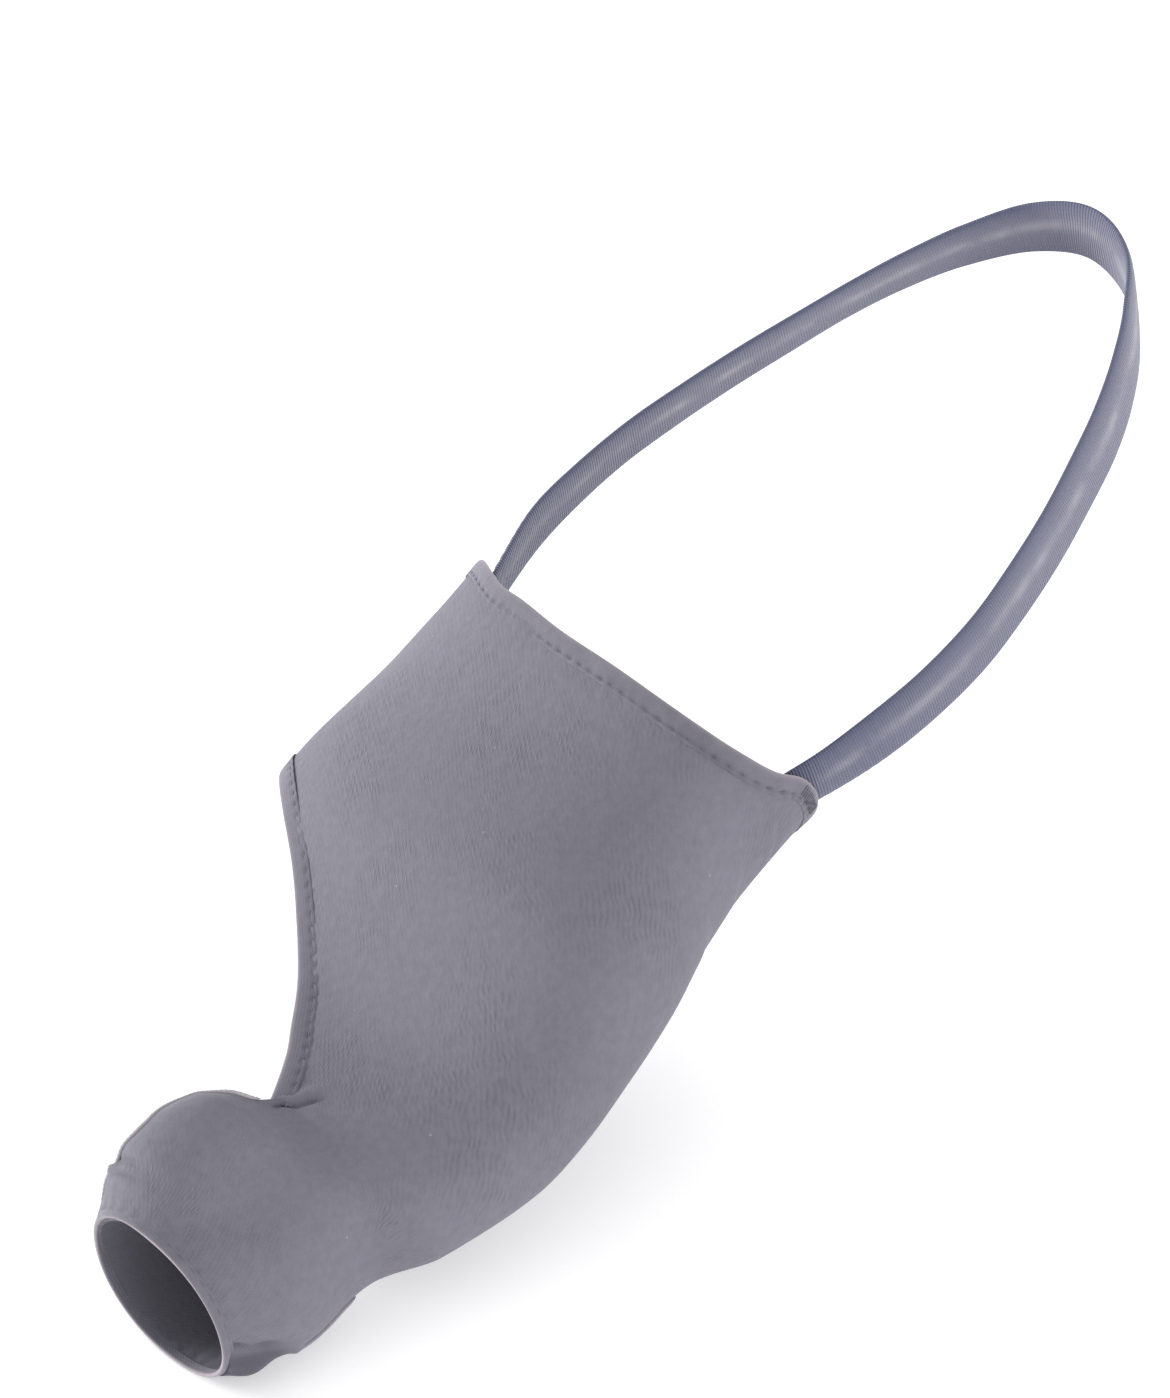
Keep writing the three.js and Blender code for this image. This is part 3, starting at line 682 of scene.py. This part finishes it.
def stations(line, step, closed):
    """An edge line set out again at even steps, and the way along it to each station."""
    table = {key: line[key] for key in ("points", "normals", "into")}
    if closed:
        table = {key: np.concatenate([values, values[:1]]) for key, values in table.items()}
    along = way_along(table["points"])
    count = max(int(round(along[-1] / step)), 4)
    at = np.linspace(0, along[-1], count + 1)
    at = at[:-1] if closed else at
    even = {key: np.stack([np.interp(at, along, values[:, k]) for k in range(3)], -1)
            for key, values in table.items()}
    return even["points"], unit(even["normals"]), unit(even["into"]), at, along[-1]


def swept(name, rings, closed, ring_uv, materials, loop_length=0.0, ring_shade=None):
    """A mesh object through rings of points, closed round or with an end on each side."""
    count, size = rings.shape[:2]
    rows = np.arange(count * size).reshape(count, size)
    points = rings.reshape(-1, 3)
    uv = {key: values.reshape(-1, 2) for key, values in ring_uv.items()}
    quads = loop_quads(np.vstack([rows, rows[:1]]) if closed else rows)
    if not closed:
        ends = []
        for row in (rows[0], rows[-1][::-1]):
            centre = len(points)
            points = np.concatenate([points, points[row].mean(0, keepdims=True)])
            uv = {key: np.concatenate([v, v[row].mean(0, keepdims=True)]) for key, v in uv.items()}
            ring = np.roll(row, -1)
            ends.append(np.stack([row, np.full(size, centre), np.full(size, centre), ring], -1))
        quads = np.concatenate([quads, *ends])
    quads = outward(points, quads)
    faces = [list(dict.fromkeys(quad)) for quad in quads.tolist()]
    corners = np.concatenate([np.array(face) for face in faces])
    corner_uv = {key: values[corners] for key, values in uv.items()}
    if closed:
        for values in corner_uv.values():
            by_face = values[:, 0].reshape(-1, 4)
            values[:, 0] = unwound(by_face, loop_length).ravel()
    shade = None
    if ring_shade is not None:
        shade = np.zeros(len(points))
        shade[:count * size] = np.repeat(ring_shade, size)
    return cloth_object(name, points, faces, corner_uv, materials, shade=shade)


def folded_hem(name, line, width, closed, bulk, materials, shade_at=None):
    """The folded band along an edge, with a pucker at each stitch. Bulk scales how far it stands out."""
    points, normals, into, at, length = stations(line, HEM_STEP, closed)
    pitch = length / max(round(length / PUCKER_PITCH), 1)
    wave = np.cos(2 * math.pi * at / pitch)[:, None]
    share, height = FOLD_OUTLINE.T
    height = np.where(height > 0, height * bulk, height)
    below = (height + CLOTH_THICKNESS) * bulk - CLOTH_THICKNESS
    height = np.where(height < -CLOTH_THICKNESS, below, height)
    outside = np.clip((height + 0.02) / 0.1, 0, 1)
    near_stitch = np.exp(-(((share - STITCH_LINE) / 0.12) ** 2)) * outside
    uneven = 0.07 * bulk * slow_waves(points, 9)[:, None] * outside
    lift = height + PUCKER_DEPTH * bulk * wave * near_stitch + uneven
    inward = share * width + 0.10 * wave * np.clip((share - 0.9) / 0.1, 0, 1) * outside
    if not closed:
        end = np.clip(np.minimum(at, at[-1] - at) / 2.0, 0, 1)[:, None]
        lift = -CLOTH_THICKNESS / 2 + (lift + CLOTH_THICKNESS / 2) * (0.35 + 0.65 * end)
    rings = points[:, None] + into[:, None] * inward[..., None] + normals[:, None] * lift[..., None]
    outline_run = np.concatenate([[0], np.cumsum(np.hypot(np.diff(share) * width, np.diff(height)))])
    run = (at * PUCKER_PITCH / pitch)[:, None]
    cloth = np.stack(np.broadcast_arrays(run, outline_run), -1)
    edge = np.stack(np.broadcast_arrays(run, np.abs(share)), -1)
    shade = np.zeros(len(points)) if shade_at is None else shade_at(points)
    return swept(name, rings, closed, {"cloth": cloth, "edge": edge}, materials,
                 length * PUCKER_PITCH / pitch, shade)


def hem_material(name, colour, light, stitch_shade_depth, fold):
    """The same knit, duller in the band, with painted shade at its stitches and a painted highlight along its
    edge.
    """
    nodes = Nodes(name)
    along, round_fold = nodes.uv("cloth")
    edge_share = nodes.uv("edge")[1]
    shade = nodes.shade()
    wale = nodes.wave(along, PUCKER_PITCH / 4)
    course = nodes.math("SINE", nodes.scaled(round_fold, 2 * math.pi / 0.55, wale))
    soft = nodes.times(nodes.noise(300.0, 3.0), 0.18)
    height = nodes.scaled(nodes.times(wale, course), 0.02, soft)
    mottle = nodes.ramp(nodes.noise(360.0, 4.0), 0.3, 0.75)
    tone = nodes.blend(mottle, colour, light)
    # Painted shade in small dimples along the line of stitches.
    off_stitch = nodes.times(nodes.math("SUBTRACT", edge_share, STITCH_LINE), 7.0)
    line = nodes.decay(nodes.times(off_stitch, off_stitch), 1.0)
    beat = nodes.math("SINE", nodes.scaled(along, 2 * math.pi / PUCKER_PITCH, -math.pi / 2))
    dimple_shade = nodes.math("POWER", nodes.scaled(beat, 0.5, 0.5), 3.0)
    uneven = nodes.ramp(nodes.noise(190.0, 3.0), 0.40, 0.66)
    depth = nodes.scaled(nodes.times(dimple_shade, uneven), stitch_shade_depth, stitch_shade_depth * 0.35)
    stitch_shade = nodes.times(line, depth)
    sewn = nodes.blend(nodes.math("MINIMUM", nodes.plus(stitch_shade, shade), 1.0), tone, KNIT_SHADE_COLOUR)
    # Painted highlight along the folded edge.
    fold_highlight_share = nodes.decay(edge_share, 13.0)
    highlighted_fold = nodes.blend(nodes.times(fold_highlight_share, fold), sewn, FOLD_HIGHLIGHT_COLOUR)
    return nodes.finish(highlighted_fold, height, 0.85, 0.30)


folded_knit = hem_material("folded_knit", HEM_COLOUR, HEM_LIGHT, 0.58, 0.85)
instep_hem = folded_hem("instep_hem_band", instep_line, INSTEP_HEM_WIDTH, True, 1.0, [folded_knit])
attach(instep_hem, "root")
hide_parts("instep_hem")


# The stitches that hold a hem: grey polyester thread, each stitch a short bead of thread that
# lies along its line. Geometry Nodes set them out along a guide line and turn them to it.
THREAD_COLOUR = (0.128, 0.123, 0.150, 1)
STITCH_LENGTH = 1.5
THREAD_THICKNESS = 0.20


def thread_material(name, colour):
    nodes = Nodes(name)
    plies = nodes.noise(2600.0)
    tone = nodes.blend(plies, (colour[0] * 0.75, colour[1] * 0.75, colour[2] * 0.78, 1), colour)
    return nodes.finish(tone, nodes.times(plies, 0.06), 0.6, 0.2)


def stitch_tree():
    """Thread stitches along a guide line, turned to the direction that its points carry."""
    tree = bpy.data.node_groups.new("thread_stitches", "GeometryNodeTree")
    sockets = {}
    for name, kind in (("Guide line", "Geometry"), ("Stitch spacing", "Float"), ("Stitch length", "Float"),
                       ("Thread thickness", "Float"), ("Seed", "Int"), ("Thread", "Material")):
        sockets[name] = tree.interface.new_socket(
            name, in_out="INPUT", socket_type="NodeSocket" + kind)
    tree.interface.new_socket("Stitches", in_out="OUTPUT", socket_type="NodeSocketGeometry")

    def add(kind, inputs=None, **settings):
        return add_node(tree, kind, inputs, **settings)

    given = add("NodeGroupInput").outputs
    curve = add("GeometryNodeMeshToCurve", {"Mesh": given["Guide line"]})
    even = add("GeometryNodeResampleCurve", {"Curve": curve.outputs[0], "Length": given["Stitch spacing"]},
               mode="LENGTH")
    bead = add("GeometryNodeMeshUVSphere", {"Segments": 8, "Rings": 7, "Radius": 0.5})
    direction = add("GeometryNodeInputNamedAttribute", {"Name": "stitch_direction"}, data_type="FLOAT_VECTOR")
    turn = add("FunctionNodeAlignRotationToVector", {"Vector": direction.outputs[0]}, axis="Z")
    uneven = add("FunctionNodeRandomValue", {"Seed": given["Seed"]}, data_type="FLOAT")
    low, high = [s for s in uneven.inputs if s.name in ("Min", "Max") and s.type == "VALUE"]
    low.default_value, high.default_value = 0.88, 1.1
    picked = [s for s in uneven.outputs if s.type == "VALUE"][0]
    long = add("ShaderNodeMath", {0: given["Stitch length"], 1: picked}, operation="MULTIPLY")
    size = add("ShaderNodeCombineXYZ", {0: given["Thread thickness"], 1: given["Thread thickness"],
                                        2: long.outputs[0]})
    placed = add("GeometryNodeInstanceOnPoints", {
        "Points": even.outputs[0], "Instance": bead.outputs[0], "Rotation": turn.outputs[0],
        "Scale": size.outputs[0]})
    real = add("GeometryNodeRealizeInstances", {"Geometry": placed.outputs[0]})
    smooth = add("GeometryNodeSetShadeSmooth", {"Geometry": real.outputs[0]})
    coloured = add("GeometryNodeSetMaterial", {"Geometry": smooth.outputs[0], "Material": given["Thread"]})
    add("NodeGroupOutput", {0: coloured.outputs[0]})
    return tree, {name: socket.identifier for name, socket in sockets.items()}


stitches, stitch_inputs = stitch_tree()


def sewn_line(name, points, directions, spacing, length, thickness, seed, material, closed=False):
    """A mesh object of thread stitches along guide points in millimetres."""
    guide = bpy.data.meshes.new(name)
    count = len(points)
    edges = [(k, k + 1) for k in range(count - 1)] + ([(count - 1, 0)] if closed else [])
    guide.from_pydata((points * MM).tolist(), edges, [])
    attribute = guide.attributes.new("stitch_direction", "FLOAT_VECTOR", "POINT")
    attribute.data.foreach_set("vector", directions.astype(np.float32).ravel())
    piece = in_scene(name, guide)
    modifier = piece.modifiers.new("stitches", "NODES")
    modifier.node_group = stitches
    for key, value in (("Stitch spacing", spacing * MM), ("Stitch length", length * MM),
                       ("Thread thickness", thickness * MM), ("Seed", seed), ("Thread", material)):
        modifier[stitch_inputs[key]] = value
    evaluated = piece.evaluated_get(bpy.context.evaluated_depsgraph_get())
    finished = bpy.data.meshes.new_from_object(evaluated)
    piece.modifiers.remove(modifier)
    piece.data = finished
    return piece


thread = thread_material("polyester_thread", THREAD_COLOUR)


def hem_stitches(name, line, width, closed, bulk, seed):
    points, normals, into, _, _ = stations(line, HEM_STEP, closed)
    guide = points + into * STITCH_LINE * width + normals * 0.12 * bulk
    run = np.roll(guide, -1, 0) - np.roll(guide, 1, 0) if closed else np.gradient(guide, axis=0)
    return sewn_line(name, guide, unit(run), PUCKER_PITCH, STITCH_LENGTH, THREAD_THICKNESS * bulk, seed,
                     thread, closed)


instep_stitches = hem_stitches("instep_hem_stitches", instep_line, INSTEP_HEM_WIDTH, True, 1.0, 3)
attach(instep_stitches, "root")


# The hem of the cut-away edge: the same folded edge, from the crotch beside the stall over the
# tube and back under it. It is in shade low down, where it runs into the crotch.
TOES_HEM_BULK = 0.85
SHADE_TOP, SHADE_BOTTOM = -2.0, -22.0


def toes_shade(points):
    return 0.42 * np.clip((SHADE_TOP - points[:, 2]) / (SHADE_TOP - SHADE_BOTTOM), 0, 1)


toes_hem = folded_hem("toes_hem_band", toes_line, TOES_HEM_WIDTH, False, TOES_HEM_BULK, [folded_knit],
                      toes_shade)
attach(toes_hem, "root")
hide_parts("toes_hem")
toes_stitches = hem_stitches("toes_hem_stitches", toes_line, TOES_HEM_WIDTH, False, TOES_HEM_BULK, 5)
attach(toes_stitches, "root")


# The hem round the stall's opening: a narrow folded edge, nearly as thin as the cloth, with the
# pad's end drawn into it on the lateral side.
TOE_HEM_BULK = 0.4
# Its folded edge has a painted highlight and its stitches painted shade.
toe_fold = hem_material("toe_folded_knit", HEM_COLOUR, HEM_LIGHT, 0.15, 0.9)
toe_hem = folded_hem("big_toe_hem_band", toe_line, TOE_HEM_WIDTH, True, TOE_HEM_BULK, [toe_fold])
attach(toe_hem, "root")
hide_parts("big_toe_hem")
toe_stitches = hem_stitches("big_toe_hem_stitches", toe_line, TOE_HEM_WIDTH, True, TOE_HEM_BULK, 7)
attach(toe_stitches, "root")


# The seams of the stall: where the pad's two faces meet, and low on its medial side, the
# cloth is joined with a thin rolled seam, oversewn with close thread. The ridge on the pad's edge
# is grey thread painted paler, a painted highlight of its lit edge.
SEAM_RADIUS = 0.34
OVERSEW_SPACING = 0.75
OVERSEW_THICKNESS = 0.17
LOBE_SEAM_SPAN = (0.773, 0.984)
TOE_SEAM_SPAN = (0.835, 0.930)
TOE_SEAM_ANGLE = -35.0
# The pale colour of the seam on the pad's edge is thread colour with a painted highlight.
SEAM_THREAD_AND_HIGHLIGHT_COLOUR = (0.40, 0.375, 0.395, 1)
TOE_SEAM_COLOUR = (0.215, 0.205, 0.235, 1)


def rolled_seam(name, span, count, taper, material, angle=None):
    """The rolled ridge of a seam over a span of the length, and the stitches across it.

    It runs where the pad's faces meet, or at the given angle.
    """
    t = np.linspace(0, 1, count)
    share = span[0] + (span[1] - span[0]) * t
    radii = SEAM_RADIUS * np.sqrt(np.clip(np.minimum(t, 1 - t) * taper, 0.05, 1))
    angle = section(share, "top") if angle is None else np.full(count, angle)
    at = skin(share, angle)
    out = skin_normal(share, angle)
    run = unit(np.gradient(at, axis=0))
    across = unit(np.cross(run, out))
    turns = np.linspace(0, 2 * math.pi, 12, endpoint=False)
    ring = (across[:, None] * np.cos(turns)[None, :, None] * 1.15
            + out[:, None] * np.sin(turns)[None, :, None])
    middle = at + out * 0.10
    rings = middle[:, None] + ring * radii[:, None, None]
    length = way_along(at)
    uv = np.stack(np.broadcast_arrays(length[:, None], turns * SEAM_RADIUS), -1)
    ridge = swept(name, rings, False, {"cloth": uv, "edge": uv}, [material])
    guide = middle + out * radii[:, None] * 0.75
    slanted = unit(across + run * 0.45)
    oversewn = sewn_line(name + "_stitches", guide[3:-3], slanted[3:-3], OVERSEW_SPACING,
                         SEAM_RADIUS * 2.1, OVERSEW_THICKNESS, 11, thread)
    return ridge, oversewn


seam_thread_and_highlight = thread_material("rolled_seam_thread_and_highlight", SEAM_THREAD_AND_HIGHLIGHT_COLOUR)
toe_seam_thread = thread_material("toe_seam_thread", TOE_SEAM_COLOUR)
lobe_seam, lobe_oversewn = rolled_seam("lobe_edge_rolled_seam", LOBE_SEAM_SPAN, 160, 14, seam_thread_and_highlight)
toe_seam, toe_oversewn = rolled_seam(
    "toe_rolled_seam", TOE_SEAM_SPAN, 90, 10, toe_seam_thread, TOE_SEAM_ANGLE)
for piece, node in ((lobe_seam, "lobe_edge_seam"), (toe_seam, "toe_seam"), (lobe_oversewn, None),
                    (toe_oversewn, None)):
    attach(piece, "root")
    if node:
        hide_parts(node)


# The heel strap: a flat tube of ribbed elastic, one length from the medial corner of the instep
# hem round the back to the lateral corner, with fine ribs across it.
STRAP_WIDTH = 10.0
STRAP_THICKNESS = 1.8
HEEL_LENGTH = 100.3
STRAP_STEP = 0.3
RIB_SPACING = 0.5
CORD_SPACING = 0.8
GATHER_PITCH = 1.9
GATHER_HEIGHT = 0.07
GATHER_PLACE, GATHER_REACH = 13, 9
END_FADE = 55
# The elastic's colour, a bluer painted shade colour for its edges, rib gaps and ends, and a painted highlight
# colour for its middle.
STRAP_COLOUR = (0.172, 0.168, 0.220, 1)
STRAP_SHADE_COLOUR = (0.070, 0.079, 0.136, 1)
STRAP_HIGHLIGHT_COLOUR = (0.300, 0.290, 0.330, 1)

# Middle line of the strap's medial half, as shares of its reach, the width and the height, with
# the way that its face leans there and on the lateral half, in degrees.
STRAP_PATH = np.array([
    (-0.133, 0.378, -0.109, -14, 10), (-0.031, 0.419, -0.044, -5, 8), (0.073, 0.448, 0.030, 5, 5),
    (0.177, 0.457, 0.089, 9, 9), (0.287, 0.452, 0.153, 13, 13), (0.398, 0.430, 0.221, 16, 16),
    (0.508, 0.400, 0.291, 18, 18), (0.613, 0.363, 0.362, 20, 20), (0.711, 0.324, 0.432, 22, 22),
    (0.802, 0.275, 0.502, 21, 21), (0.889, 0.210, 0.573, 16, 16), (0.970, 0.117, 0.643, 5, 5),
    (1.000, 0.000, 0.682, -1, -1),
])

near_half = STRAP_PATH[:, :4]
far_half = STRAP_PATH[:-1][::-1][:, [0, 1, 2, 4]] * np.array([1, -1, 1, 1])
strap_rows = np.concatenate([near_half, far_half])
strap_table = np.column_stack([np.arange(len(strap_rows)), strap_rows])
fine = smooth_table(strap_table, np.linspace(0, len(strap_rows) - 1, 1500))
fine_middle = fine[:, 1:4] * np.array([HEEL_LENGTH, -BALL_WIDTH, INSTEP_HEIGHT])
fine_along = way_along(fine_middle)
strap_length = fine_along[-1]
strap_at = np.linspace(0, strap_length, int(strap_length / STRAP_STEP) + 1)
strap_middle = np.stack([np.interp(strap_at, fine_along, fine_middle[:, k]) for k in range(3)], -1)
strap_lean = np.radians(np.interp(strap_at, fine_along, fine[:, 4]))
strap_run = unit(np.gradient(strap_middle, axis=0))
level = unit(np.stack([strap_run[:, 1], -strap_run[:, 0], np.zeros(len(strap_run))], -1))
strap_out = level * np.cos(strap_lean)[:, None]
strap_out[:, 2] = np.sin(strap_lean)
strap_out = unit(strap_out - strap_run * np.sum(strap_out * strap_run, -1, keepdims=True))
strap_across = unit(np.cross(strap_out, strap_run))

turns = np.linspace(0, 2 * math.pi, 36, endpoint=False)
half_width, half_thickness = STRAP_WIDTH / 2, STRAP_THICKNESS / 2
flat_x = half_width * np.sign(np.cos(turns)) * np.abs(np.cos(turns)) ** 0.72
flat_y = half_thickness * np.sign(np.sin(turns)) * np.abs(np.sin(turns)) ** 0.8
flat_y = np.where(flat_y > 0, flat_y, flat_y * 0.85)
flat_y = flat_y - 0.22 * half_thickness * (flat_x / half_width) ** 2
end_gap = np.minimum(strap_at, strap_length - strap_at)
gathers = np.exp(-((end_gap - GATHER_PLACE) / GATHER_REACH) ** 2)
gathers = gathers * (0.5 + 0.5 * slow_waves(strap_middle, 11))
gather_wave = np.sin(2 * math.pi * strap_at / GATHER_PITCH + 2 * slow_waves(strap_middle, 14))
lift = flat_y[None] + (GATHER_HEIGHT * gathers * gather_wave)[:, None] * (np.sin(turns) > 0)
strap_rings = (strap_middle[:, None] + strap_across[:, None] * flat_x[None, :, None]
               + strap_out[:, None] * lift[..., None])
strap_uv = np.stack(np.broadcast_arrays(flat_x, strap_at[:, None]), -1)
strap_end_uv = np.stack(np.broadcast_arrays(flat_x, end_gap[:, None]), -1)


def elastic_material(name):
    """Ribbed elastic: fine ribs, painted shade in their gaps, at its bluer edges and its ends, and a painted
    highlight along its middle.
    """
    nodes = Nodes(name)
    across, along = nodes.uv("cloth")
    near_end = nodes.decay(nodes.uv("edge")[1], 1 / END_FADE)
    drift = nodes.times(nodes.noise(120.0), 1.4)
    phase = nodes.scaled(along, 2 * math.pi / RIB_SPACING, drift)
    ribs = nodes.scaled(nodes.math("SINE", phase), 0.5, 0.5)
    strength = nodes.plus(nodes.ramp(nodes.noise(70.0), 0.2, 0.7), near_end)
    rib_height = nodes.times(ribs, nodes.scaled(strength, 0.10, 0.06))
    cords = nodes.times(nodes.wave(across, CORD_SPACING), 0.010)
    off_centre = nodes.math("ABSOLUTE", nodes.math("DIVIDE", across, STRAP_WIDTH / 2))
    # Painted shade towards the rounded edges and in the gaps between the ribs.
    edge_shaded = nodes.blend(nodes.math("POWER", off_centre, 3.0), STRAP_COLOUR, STRAP_SHADE_COLOUR)
    ribbed = nodes.blend(0.55, nodes.blend(ribs, edge_shaded, STRAP_SHADE_COLOUR), edge_shaded)
    # Painted shade near the ends, where the strap runs into the sleeve.
    ribbed = nodes.blend(nodes.times(near_end, 0.70), ribbed, STRAP_SHADE_COLOUR)
    # A painted highlight along the middle.
    off_middle = nodes.times(nodes.math("SUBTRACT", across, 0.5), 0.95)
    highlight_streak = nodes.decay(nodes.times(off_middle, off_middle), 1.0)
    broken_highlight = nodes.times(highlight_streak, nodes.ramp(nodes.noise(130.0, 3.0), 0.3, 0.62))
    highlight_share = nodes.times(broken_highlight, nodes.scaled(near_end, -0.50, 0.85))
    tone = nodes.blend(highlight_share, ribbed, STRAP_HIGHLIGHT_COLOUR)
    return nodes.finish(tone, nodes.plus(rib_height, cords), 0.5, 0.3)


elastic = elastic_material("ribbed_elastic")
strap = swept("ribbed_heel_strap", strap_rings, False, {"cloth": strap_uv, "edge": strap_end_uv}, [elastic])
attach(strap, "root")
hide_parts("heel_strap")


# The tacks: a short dense zigzag of thread through hem and strap at each corner, which holds the
# strap's end inside the sleeve.
TACK_LENGTH = 7.0
TACK_SPACING = 0.5
TACK_STITCH = 2.0
TACK_THICKNESS = 0.2
TACK_LIFT = 0.26


def bar_tack(name, angle, node):
    share = smooth_table(INSTEP_EDGE, np.array([angle]))[0, 1] + INSTEP_HEM_WIDTH * 0.5 / SLEEVE_LENGTH
    reach = math.degrees(TACK_LENGTH / (0.45 * BALL_WIDTH))
    spots = angle + reach * np.linspace(-0.5, 0.5, 40)
    shares = np.full(len(spots), share)
    out = skin_normal(shares, spots, 0.0)
    guide = skin(shares, spots, 0.0) + out * TACK_LIFT
    across = unit(skin(shares + 0.01, spots, 0.0) - skin(shares, spots, 0.0))
    run = unit(np.gradient(guide, axis=0))
    zig = sewn_line(name, guide, unit(across + run * 0.25), TACK_SPACING, TACK_STITCH,
                    TACK_THICKNESS, 17, thread)
    zag = sewn_line(name + "_cover", guide + out * 0.1, unit(across - run * 0.25), TACK_SPACING * 1.3,
                    TACK_STITCH, TACK_THICKNESS, 19, thread)
    for piece in (zig, zag):
        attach(piece, "root")
    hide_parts(node)


bar_tack("medial_strap_tack", 2, "strap_tack_medial")
bar_tack("lateral_strap_tack", 178, "strap_tack_lateral")


# The studio: a plain pale floor just under the stall, two soft lamps in an even bright world, and
# the camera at the photograph's angle, in front of the stall and above it on the medial side.
CAMERA_BACK = Vector((-0.5695, -0.5681, 0.5941))
CAMERA_UP = Vector((0.4206, 0.4196, 0.8044))
CAMERA_DISTANCE = 0.9
CAMERA_AIM = Vector((-0.0137, 0.0072, -0.0062))
CAMERA_LENS = 141.6
SENSOR_WIDTH = 36
FLOOR_REACH = 3.0
FLOOR_GAP = 0.0002
FLOOR_GLOW = 0.24
AIR_BRIGHTNESS = 1.03
LAMP_AIM = Vector((-0.05, 0, -0.02))

camera_data = bpy.data.cameras.new("photo_camera")
camera_data.lens = CAMERA_LENS
camera_data.sensor_width = SENSOR_WIDTH
camera = in_scene("photo_camera", camera_data)
camera.location = CAMERA_BACK.normalized() * CAMERA_DISTANCE
look_back = (camera.location - CAMERA_AIM).normalized()
look_right = CAMERA_UP.cross(look_back).normalized()
look_up = look_back.cross(look_right)
camera.rotation_euler = Matrix((look_right, look_up, look_back)).transposed().to_euler()
bpy.context.scene.camera = camera

floor_mesh = bpy.data.meshes.new("pale_floor")
floor_height = min(cad_low.z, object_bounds()[0].z) - FLOOR_GAP
floor_corners = [(x * FLOOR_REACH, y * FLOOR_REACH, floor_height)
                 for x, y in ((-1, -1), (1, -1), (1, 1), (-1, 1))]
floor_mesh.from_pydata(floor_corners, [], [(0, 1, 2, 3)])
floor = in_scene("pale_floor", floor_mesh)
paint = Nodes("matt_pale_floor")
paint_tone = paint.blend(paint.noise(3.0), (0.90, 0.90, 0.90, 1), (0.92, 0.92, 0.92, 1))
grain = paint.times(paint.noise(700.0), 0.02)
floor_paint = paint.finish(paint_tone, grain, 0.9, 0.0)
lit = next(node for node in paint.tree.nodes if node.type == "BSDF_PRINCIPLED")
lit.inputs["Emission Color"].default_value = (1, 1, 1, 1)
lit.inputs["Emission Strength"].default_value = FLOOR_GLOW
floor_mesh.materials.append(floor_paint)

world = bpy.data.worlds.new("studio_air")
world.use_nodes = True
air = world.node_tree.nodes["Background"]
air.inputs["Color"].default_value = (1.0, 0.995, 1.0, 1)
air.inputs["Strength"].default_value = AIR_BRIGHTNESS
bpy.context.scene.world = world
bpy.context.scene.view_settings.view_transform = "Standard"


def lamp(name, location, size, watts):
    data = bpy.data.lights.new(name, "AREA")
    data.size = size
    data.energy = watts
    soft_lamp = in_scene(name, data)
    soft_lamp.location = location
    soft_lamp.rotation_euler = (Vector(location) - LAMP_AIM).to_track_quat("Z", "Y").to_euler()


lamp("key_softbox", (-0.66, 1.12, 0.16), 0.4, 20.0)
lamp("fill_softbox", (-0.10, -1.25, 0.26), 0.6, 9.0)
